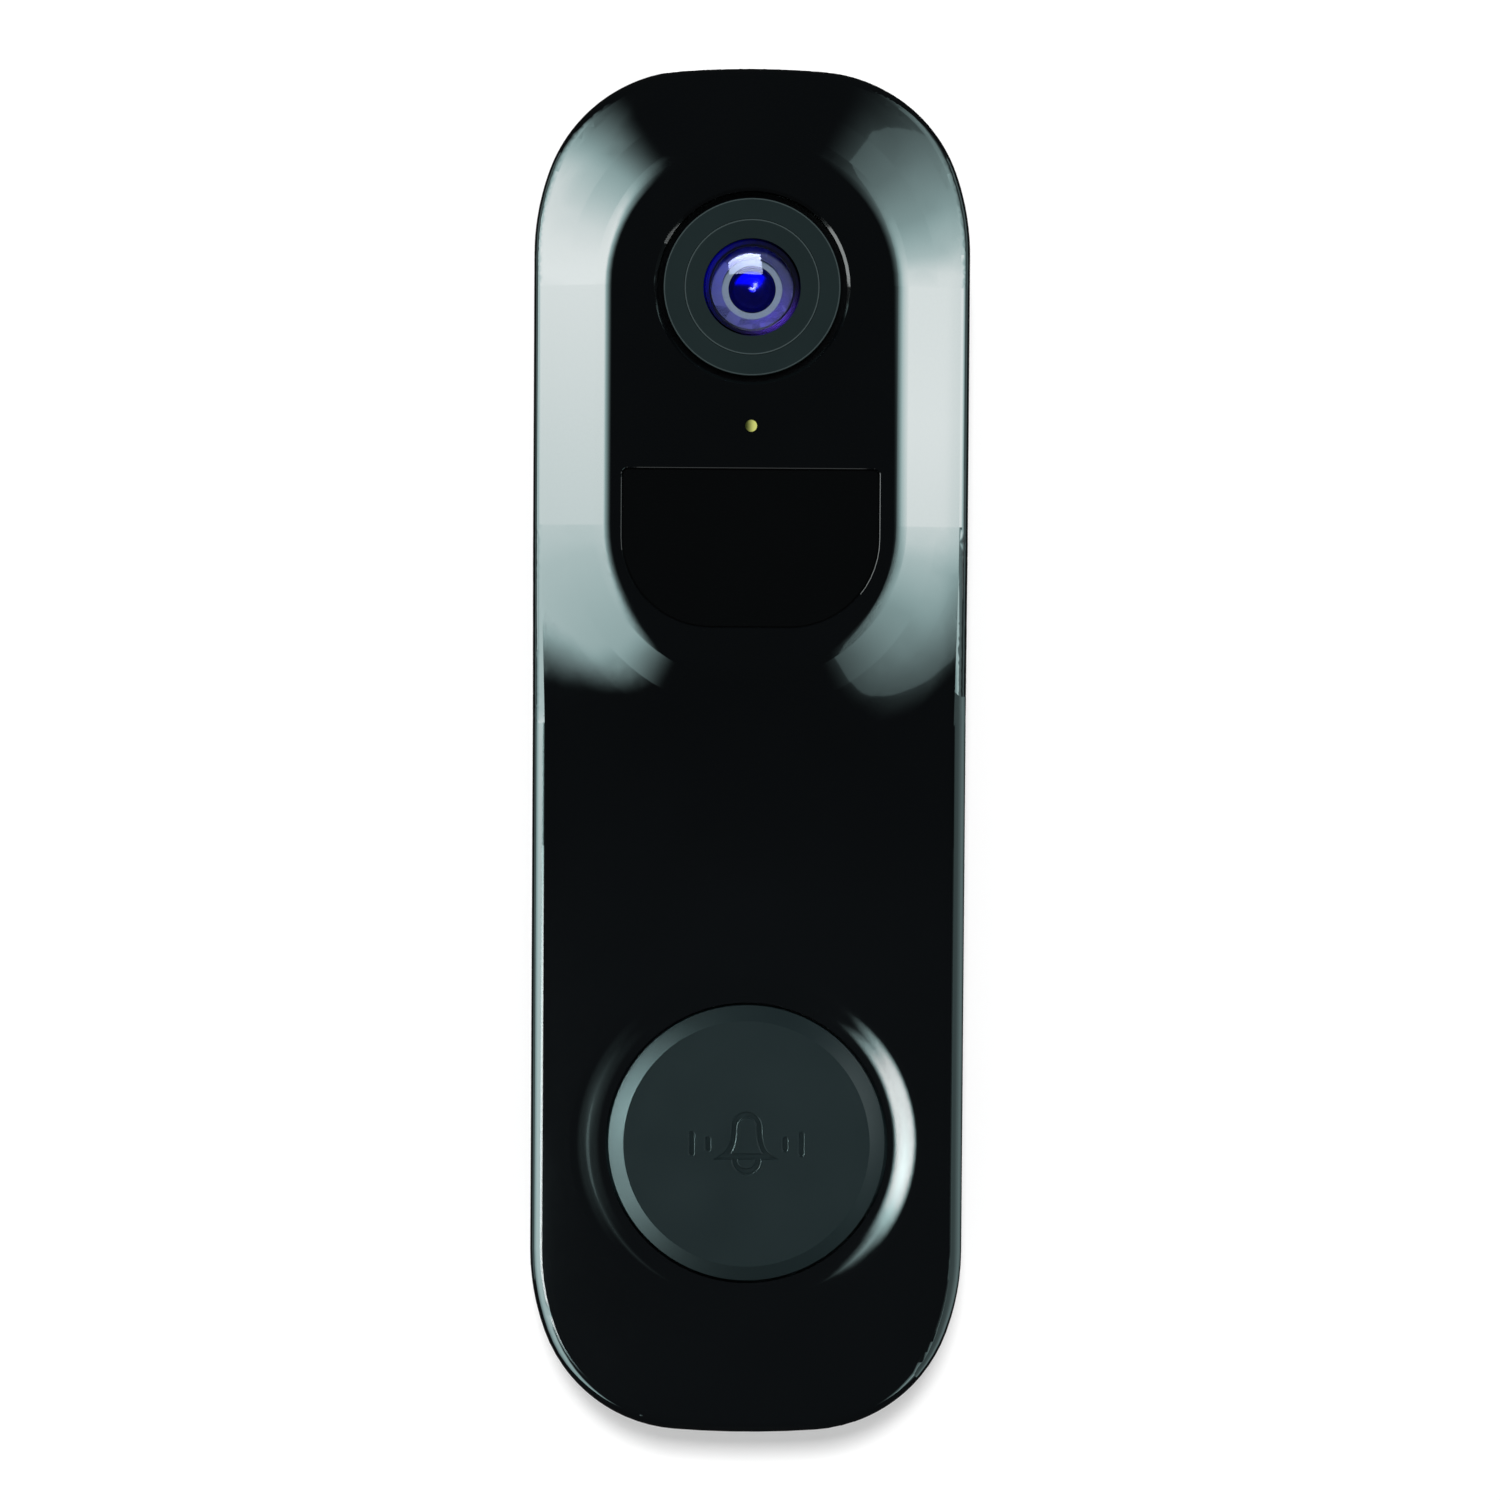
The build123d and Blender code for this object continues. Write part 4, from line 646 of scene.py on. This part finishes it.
eye_data = bpy.data.cameras.new("eye")
eye_data.lens, eye_data.sensor_width = lens_length, sensor
eye_data.clip_start, eye_data.clip_end = 0.01, 20.0
eye = bpy.data.objects.new("eye", eye_data)
bpy.context.collection.objects.link(eye)
back = Vector((0, -cos(eye_rise), sin(eye_rise)))
eye.location = aim + back * picture_height * lens_length / sensor
eye.rotation_mode = "QUATERNION"
roll = Matrix.Rotation(eye_roll, 4, "Z").to_quaternion()
eye.rotation_quaternion = (-back).to_track_quat("-Z", "Y") @ roll
bpy.context.scene.camera = eye
bpy.context.scene.view_settings.view_transform = "Standard"
print("camera", [round(v, 4) for v in eye.location])

# %% [markdown]
# ## The wall
#
# The doorbell hangs on a white wall. Only the camera sees it, from the front, so it hides nothing
# from behind and the light reaches the back of the part too. It takes the shadow like any matt
# wall; a little light of its own, for the camera only, lifts it to white.
# %% Wall

wall_reach = 1.0
wall_white, wall_glow = 0.75, 0.28


def sheet(name, start, end, unseen_by):
    """Upright sheet between two opposite corners, which some kinds of ray don't meet."""
    mesh = bpy.data.meshes.new(name)
    mesh.from_pydata([start, (*end[:2], start[2]), end, (*start[:2], end[2])], [], [(0, 1, 2, 3)])
    made = bpy.data.objects.new(name, mesh)
    bpy.context.collection.objects.link(made)
    for ray in unseen_by:
        setattr(made, "visible_" + ray, False)
    print(f"{name}: from {tuple(start)} to {tuple(end)}")
    return made


wall = sheet("wall", (-wall_reach, 0, -wall_reach), (wall_reach, 0, wall_reach),
             ("diffuse", "glossy", "transmission", "shadow"))
wall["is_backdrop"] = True

paint = Finish("wall_paint")
roller = paint.noise(2 * MM, 3.0)
matt = paint.node("BsdfDiffuse", {}, {
    "Color": (wall_white, wall_white, wall_white, 1.0), "Normal": paint.relief(roller, 5e-6)})
glow = paint.node("Emission", {}, {"Color": (1, 1, 1, 1), "Strength": wall_glow})
lit = paint.node("AddShader", {}, {0: matt, 1: glow})
behind = paint.node("NewGeometry", out="Backfacing")
wall.data.materials.append(paint.close(paint.node("MixShader", {}, {
    0: behind, 1: lit, 2: paint.node("BsdfTransparent")})))

# %% [markdown]
# ## The studio
#
# A polished black front shows hardly any colour of its own: what is seen is the room. The room is
# white behind the part and dark in front of it, with one large panel on each side of the camera.
# The slopes round the raised pod lean just far enough to mirror the panels, and the flat front,
# which mirrors the dark middle, stays black. The room itself comes first: the camera and the light
# through the lens see it white, a reflection sees it white only behind the part, and everything
# else takes an even, dim light from it.
# %% Room

ambient = 0.45
dark_side = 0.012  # what a reflection finds in front of the part

world = bpy.data.worlds.new("room")
bpy.context.scene.world = world
room = Finish("room", world)
toward_wall = room.axis("Y", room.node("TexCoord", out="Generated"))
rays = room.node("LightPath")
camera_ray = Varying(room, rays.socket.node.outputs["Is Camera Ray"])
glossy_ray = Varying(room, rays.socket.node.outputs["Is Glossy Ray"])
through_ray = Varying(room, rays.socket.node.outputs["Is Transmission Ray"])
back_wall = room.smooth(toward_wall, 0.8, 1.0, dark_side, 1.0)
seen = camera_ray + through_ray + glossy_ray * back_wall
fill = (1 - camera_ray) * (1 - through_ray) * (1 - glossy_ray) * ambient
room_light = room.node("Background", {}, {"Color": (1, 1, 1, 1), "Strength": seen + fill})
room.node("OutputWorld", {}, {"Surface": room_light})
print("room: ambient", ambient, "dark side", dark_side)

# %% [markdown]
# ## Lamps and what blocks them
#
# Every lamp is a rectangle, set by two angles and a distance from what it faces. Its power follows
# from its size and from how bright its face looks, so a larger lamp gives more light and not a
# dimmer mirror image. What can block its light is listed with it: the doorbell's solids alone, or
# these and the card that comes later.
# %% Lamp helper

lamp_watts = 4  # power of a lamp's face for each square metre and unit of brightness
casts, blocks = (bpy.data.collections.new(name) for name in ("casts_shadow", "blocks_light"))
for solid in nodes.values():
    casts.objects.link(solid)
blocks.children.link(casts)


def lamp(name, azimuth, elevation, distance, size, radiance, tint=(1, 1, 1), target=(0, -0.02, 0),
         diffuse=True, glossy=True, only=None):
    """Rectangular lamp that faces the target. Azimuth 0 is the camera's side, 90 the right-hand side."""
    data = bpy.data.lights.new(name, "AREA")
    data.shape, data.size, data.size_y = "RECTANGLE", size[0], size[1]
    data.energy = radiance * lamp_watts * size[0] * size[1]
    data.color = tint[:3]
    made = bpy.data.objects.new(name, data)
    bpy.context.collection.objects.link(made)
    a, e = radians(azimuth), radians(elevation)
    out = Vector((sin(a) * cos(e), -cos(a) * cos(e), sin(e)))
    made.location = Vector(target) + out * distance
    made.rotation_mode = "QUATERNION"
    made.rotation_quaternion = out.to_track_quat("Z", "Y")
    made.visible_diffuse, made.visible_glossy = diffuse, glossy
    made.visible_camera = False
    made.light_linking.blocker_collection = blocks
    if only:
        group = bpy.data.collections.new(name + "_on")
        for piece in only:
            group.objects.link(nodes[piece])
        made.light_linking.receiver_collection = group
    print(f"{name}: azimuth {azimuth}, elevation {elevation}, {distance} m, {data.energy:.1f} W")
    return made


# %% [markdown]
# ## Two large panels for the gloss
#
# What the slopes mirror is the shape of the panels, so their edges matter more than their power. In
# a real studio a panel is softened with a diffuser and flags. Here the lamp's own nodes do it, and
# what its face shows is cooler where it is dim.
# %% Sizes of the panels, and how a lamp's face glows

mirror = 0.112  # share of the light that the gloss returns
cool, warm = (0.69, 1.0, 1.0, 1.0), (0.93, 1.0, 0.995, 1.0)  # tints of dim and of bright light
tallest = 50.0  # degrees of elevation that the rows may reach
widest = 60.0  # degrees of azimuth that an inner edge may have
panel_distance = 3.0
panel_reach = (43, 47)  # degrees from the middle of a panel to its sides, and to its top and bottom
far_start = 45.0  # degrees of azimuth from which a panel dims towards its far side
below_fade, below_share = 6, 0.85  # degrees over which the lower far part dims, and by what share
gloss_pieces = ("front_housing", "pir_lens")


def tinted(face, glow):
    """Tint of a lamp's face, cooler where it is dim."""
    return face.blend(face.smooth(glow, 0.25, 0.75), cool, warm)


def shine(face, tint, strength):
    """Let a lamp's face glow; the tint and the strength may vary over it."""
    light = face.node("Emission", {}, {"Color": tint, "Strength": strength})
    face.node("OutputLight", {}, {"Surface": light})


# %% [markdown]
# ## One panel
#
# Each point of the panel is turned into the azimuth and elevation at which the part sees it. The
# panel is cut like a paper pattern: each row of it says how bright it is at one elevation, where
# its inner edge lies and how soft that edge is. One colour ramp carries the three as red, green
# and blue. Only the glossy front takes its light.
# %% Panel helper


def panel(name, azimuth, rows, far_edge, below_side=None, outline=None):
    """Large far lamp that its own nodes dim.

    rows: elevation, brightness in the mirror image, inner edge and softness of that edge.
    far_edge: azimuth where the far side is dimmest, with the brightness before it and there.
    below_side: azimuth beyond which, and elevations between which, the lower far part dims.
    outline: weak oval round it all, by its middle, reach, squareness and brightness.
    """
    half = [tan(radians(reach)) for reach in panel_reach]
    made = lamp(name, azimuth, elevation=0, distance=panel_distance, radiance=1.0, diffuse=False,
                size=[2 * panel_distance * reach for reach in half], only=gloss_pieces)
    face = Finish(name, made.data)
    at = face.node("NewGeometry", out="Parametric")
    across, up = ((face.axis(axis, at) * 2 - 1) * reach for axis, reach in zip("XY", half))
    side = 1 if azimuth > 0 else -1
    turn = face.math("ARCTANGENT", across) * (side * 180 / pi) + side * azimuth
    rise = face.math("ARCTANGENT", up / face.math("SQRT", across * across + 1)) * (180 / pi)
    top = max(row[1] for row in rows)
    stops = [((e / tallest + 1) / 2, (level / top, edge / widest, soft / widest, 1.0))
             for e, level, edge, soft in rows]
    pattern = face.node("ValToRGB", {"stops": stops}, {0: rise / (2 * tallest) + 0.5})
    level, edge, soft = (face.node("SeparateColor", {}, {0: pattern}, out=channel)
                         for channel in ("Red", "Green", "Blue"))
    glow = face.smooth((turn / widest - edge) / soft, 0.0, 1.0) * level * top
    glow = glow * face.smooth(turn, far_start, *far_edge)
    if below_side:
        side_edge, dark, light = below_side
        hidden = face.smooth(turn, side_edge, side_edge + below_fade)
        hidden = hidden * face.smooth(rise, dark, light, 1.0, 0.0)
        glow = glow * (1 - hidden * below_share)
    if outline:
        middle, reach, squareness, skin = outline
        parts = [face.math("POWER", abs((angle - m) / r), squareness)
                 for angle, m, r in zip((turn, rise), middle, reach)]
        glow = glow + (parts[0] + parts[1] < 1) * skin
    shine(face, tinted(face, glow), glow / mirror)
    print(f"{name}: {len(rows)} rows, brightest {top}")


# %% [markdown]
# ## The two patterns
#
# The left panel is brightest a little above the middle and ends at 42 degrees. The right one has a
# softer inner edge, fades below the middle on its far side, and has a weak oval round it, which
# gives the dim skin of light beyond the bright shape.
# %% Left and right panel

left_rows = [
    (-45, 0.26, 23, 13), (-30, 0.34, 23, 13), (-15, 0.42, 17, 13), (-5, 0.47, 10, 13), (0, 0.53, 9, 13),
    (7, 0.74, 9, 13), (12, 0.71, 6.5, 15), (18, 0.63, 9, 17), (30, 0.33, 18, 19), (42, 0.0, 32, 20)]
right_rows = [
    (-45, 0.30, 26, 29), (-30, 0.23, 20, 29), (-18, 0.24, 13, 29), (-12, 0.34, 12, 29),
    (-6, 0.43, 15, 29), (0, 0.56, 13, 29), (3, 0.67, 12, 29), (7, 0.63, 9, 30), (12, 0.42, 5, 31),
    (20, 0.23, 6.5, 32), (30, 0.12, 13, 33), (45, 0.13, 25, 33)]
panel("left_panel", -41, left_rows, far_edge=(95.0, 1.0, 0.2))
panel("right_panel", 45, right_rows, far_edge=(86.0, 1.0, 0.05), below_side=(43.0, -1.5, 0.5),
      outline=((45.0, 0.0), (28.0, 41.5), 2.3, 0.04))

# %% [markdown]
# ## A grey card
#
# The lower right edge must not mirror the right panel, or it would shine like the left one. In a
# studio a card is held close beside it. It stands edge-on to the camera and to the key, its side
# towards the part is a dull grey, and only reflections see it. The same trick with the lamps alone
# would also dim the pod's slope.
# %% Card beside the lower right edge

body_low, body_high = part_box("front_housing")
card_gap = 0.9 * MM
card_behind, card_before = 4.7 * MM, 4.0 * MM  # how far it reaches behind and before the pod's face
card_top = 6 * MM
card_x = body_high.x + card_gap
card_near, card_far = body_low.y + card_behind, body_low.y - card_before
card = sheet("card", (card_x, card_near, body_low.z), (card_x, card_far, card_top),
             ("camera", "diffuse", "transmission"))
card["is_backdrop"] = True
blocks.objects.link(card)
grey = Finish("card_grey")
forward = (card_near - grey.axis("Y")) / (card_near - card_far)
tone = grey.node("ValToRGB", {"stops": [(0.0, (0.02, 0.03, 0.03, 1)), (0.12, (0.09, 0.13, 0.13, 1)),
                                       (0.35, (0.045, 0.065, 0.065, 1)), (1.0, (0.03, 0.045, 0.045, 1))]},
                 {0: forward})
card.data.materials.append(grey.close(grey.node("Emission", {}, {
    "Color": tone, "Strength": 1 / mirror})))

# %% [markdown]
# ## Light for the colours
#
# One lamp a little above the camera lights the colours and throws the short shadow below the body;
# its size sets how soft that shadow is. Only the doorbell casts a shadow in it, so the card leaves
# no trace on the wall. A dimmer lamp behind serves the back, and two strips beyond the sides draw a
# sheen on these.
# %% Key and rear lamp

key = lamp("front_key", azimuth=-0.6, elevation=13.7, distance=1.5, size=(0.14, 0.14), radiance=205.0,
           glossy=False)
key.light_linking.blocker_collection = casts
lamp("rear_key", azimuth=170, elevation=35, distance=1.2, size=(0.6, 0.6), radiance=1.6)
for name, azimuth in (("left_side_strip", -97), ("right_side_strip", 97)):
    lamp(name, azimuth, elevation=8, distance=0.9, size=(0.25, 0.9), radiance=0.5, tint=cool,
         diffuse=False, only=("front_housing", "rear_housing"))

# %% [markdown]
# ## Lamps for the button
#
# The button has three lamps of its own. A tall strip on the left is mirrored in its bevel, a weak
# one on the right lights its other side, and a strip far to the side grazes the edges of the mark.
# A helper places a lamp by its own position and what it faces; a narrow beam makes it a snoot, and
# its power is corrected for that.
# %% Button lamps


def lamp_at(name, place, target, size, radiance, tint, only, beam=180.0, diffuse=False):
    """Lamp at a given place; beam is the angle in degrees that its light keeps to."""
    half = radians(beam) / 2
    gain = tan(half) - half if beam < 180 else 1.0
    away = Vector(place) - Vector(target)
    made = lamp(name, azimuth=0, elevation=0, distance=1.0, size=size, radiance=radiance * gain,
                tint=tint, diffuse=diffuse, only=only)
    made.data.spread = radians(beam)
    made.location = place
    made.rotation_quaternion = away.to_track_quat("Z", "Y")
    return made


button_low, button_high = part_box("button_cap")
button_z = (button_low.z + button_high.z) / 2
lamp("bevel_strip", azimuth=-60, elevation=-14, distance=1.2, size=(0.5, 1.2), radiance=12.0, tint=cool,
     target=(0, -0.025, -0.04), diffuse=False, only=("button_cap",))
lamp_at("button_side", place=(0.06, -0.06, button_z + 0.01), target=(0.005, -0.025, button_z),
        size=(0.03, 0.05), radiance=5.0, tint=(0.85, 1.0, 1.0), only=("button_cap",), diffuse=True)
lamp_at("mark_glint", place=(-0.055, button_low.y - 3 * MM, button_z + 0.02),
        target=(0, button_low.y, button_z), size=(0.01, 0.04), radiance=80.0, tint=cool,
        only=("button_cap",))

# %% [markdown]
# ## A flag, and lamps for the dish
#
# The dish round the button mirrors a soft lamp low on the left, which is where its bright crescent
# comes from. Its weak twin on the right fills the other side. Either lamp would also show in the
# pod, so a black flag hangs in front of it. The flag blocks only these two lamps, and neither the
# camera nor a reflection sees it.
# %% Flag and dish lamps

flag_gap = 6 * MM
flag_half_width = 45 * MM
flag_bottom, flag_top = -10 * MM, 90 * MM
dish_aside, dish_before, dish_below = 0.173, 0.625, 0.098  # where the two lamps hang, from the button
flag_y = body_low.y - flag_gap
flag = sheet("flag", (-flag_half_width, flag_y, flag_bottom), (flag_half_width, flag_y, flag_top),
             ("camera", "diffuse", "glossy", "transmission"))
flag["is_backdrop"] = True
flagged = bpy.data.collections.new("blocks_dish_lamps")
for solid in (*nodes.values(), flag):
    flagged.objects.link(solid)
cloth = Finish("flag_cloth")
flag.data.materials.append(cloth.close(cloth.node("BsdfDiffuse", {}, {
    "Color": cloth.blend(cloth.noise(1 * MM), shade(4, 4, 4), shade(9, 9, 9))})))
for name, side, level in (("dish_lamp", -1, 0.68), ("dish_fill", 1, 0.012)):
    far = lamp_at(name, place=(side * dish_aside, -dish_before, button_z - dish_below),
                  target=(-side * 0.018, -0.025, button_z), size=(0.26, 0.27),
                  radiance=level / mirror, tint=(1, 1, 1), only=("front_housing",))
    far.light_linking.blocker_collection = flagged
    face = Finish(name, far.data)
    from_middle = face.distance(face.node("NewGeometry", out="Parametric"), (0.5, 0.5, 0))
    glow = face.smooth(from_middle, 0.16, 0.5, 1.0, 0.0)
    shine(face, tinted(face, glow) if side < 0 else cool, glow)

# %% [markdown]
# ## Strips for the fine edges
#
# The chamfers round the camera's bore and round the motion window are a fraction of a millimetre
# wide and lean by 45 degrees, so they mirror what is beside or below the body. A thin strip on each
# side and one below light them. They stand a little before the pod's face, and the lower one keeps
# to a narrow beam.
# %% Edge strips

strip_gap, strip_before = 23 * MM, 2.8 * MM  # beyond the outline, and before the pod's face
strip_y = body_low.y - strip_before
left_z, right_z = 35 * MM, 22 * MM
lamp_at("left_edge_strip", place=(body_low.x - strip_gap, strip_y, left_z), target=(0, strip_y, left_z),
        size=(0.003, 0.054), radiance=1.8, tint=warm, only=gloss_pieces)
lamp_at("right_edge_strip", place=(body_high.x + strip_gap, strip_y, right_z),
        target=(0, strip_y, right_z), size=(0.003, 0.016), radiance=0.6, tint=warm, only=gloss_pieces)
lamp_at("low_edge_strip", place=(0, strip_y, body_low.z - strip_gap), target=(0, strip_y, 0),
        size=(0.03, 0.004), radiance=2.0, tint=warm, only=gloss_pieces, beam=26)

# %% [markdown]
# ## Lamps for the lens
#
# A photographer lights a lens by itself, because its domes shrink the whole room to a few dots. A
# window high up, crossed by a slanting bar, makes the pale patch on the front glass. Blue light
# from above fills the top of the inner dome, and a small lamp in front puts one dot on it. Two
# coloured snoots, so near that each reaches only one side of the rings, give these their blue and
# violet.
# %% Window, blue sky and two coloured lamps

white, blue, violet = (0.78, 0.88, 1.0), (0.0, 0.0, 1.0), (0.2, 0.08, 1.0)
inner_rings = ("lens_spacer_ring", "lens_retaining_ring", "lens_barrel")
window = lamp("lens_window", azimuth=-9, elevation=45, distance=1.0, size=(0.84, 0.84), radiance=34.0,
              tint=white, target=lens_middle, diffuse=False, only=("lens_front_element",))
pane = Finish("lens_window", window.data)
at = pane.node("NewGeometry", out="Parametric")
across, up = (pane.axis(axis, at) for axis in "XY")
bar_foot, bar_slant, bar_width = 1.03, 0.35, 0.05  # as shares of the window
from_bar = across - (bar_foot - up * bar_slant)
light = pane.smooth(up, 0.0, 0.9, 0.25, 1.0) * (from_bar < 0)
light = light + (from_bar > bar_width) * pane.smooth(up, 0.6, 0.75)
shine(pane, (1, 1, 1, 1), light)
lamp("lens_sky", azimuth=-22, elevation=46, distance=0.4, size=(0.8, 0.46), radiance=1.4, tint=blue,
     target=lens_middle, diffuse=False, only=("lens_second_element",))
lamp("lens_dot", azimuth=8, elevation=14, distance=1.0, size=(0.16, 0.16), radiance=12.0, tint=white,
     target=lens_middle, diffuse=False, only=("lens_second_element",))
lamp_at("ring_blue", place=lens_middle + Vector((-4, -14, 3)) * MM,
        target=lens_middle + Vector((-3, 0, 2)) * MM, size=(0.004, 0.004), radiance=60.0, tint=blue,
        only=inner_rings, beam=60, diffuse=True)
lamp_at("ring_violet", place=lens_middle + Vector((3.5, -12, -4)) * MM,
        target=lens_middle + Vector((2.2, 0, -2.8)) * MM, size=(0.003, 0.003), radiance=330.0,
        tint=violet, only=inner_rings, beam=36, diffuse=True)

# %% [markdown]
# ## How far the dressed part grew
#
# The box of everything but the backdrop is measured again, and how far it grew beyond the box of
# the solids is printed. The dressed part has to stay in the box of the solids.
# %% Finish

seen_low, seen_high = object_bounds()
grown = (seen_high - seen_low) - (cad_high - cad_low)
print("grown by", [round(value * 1000, 3) for value in grown], "mm")
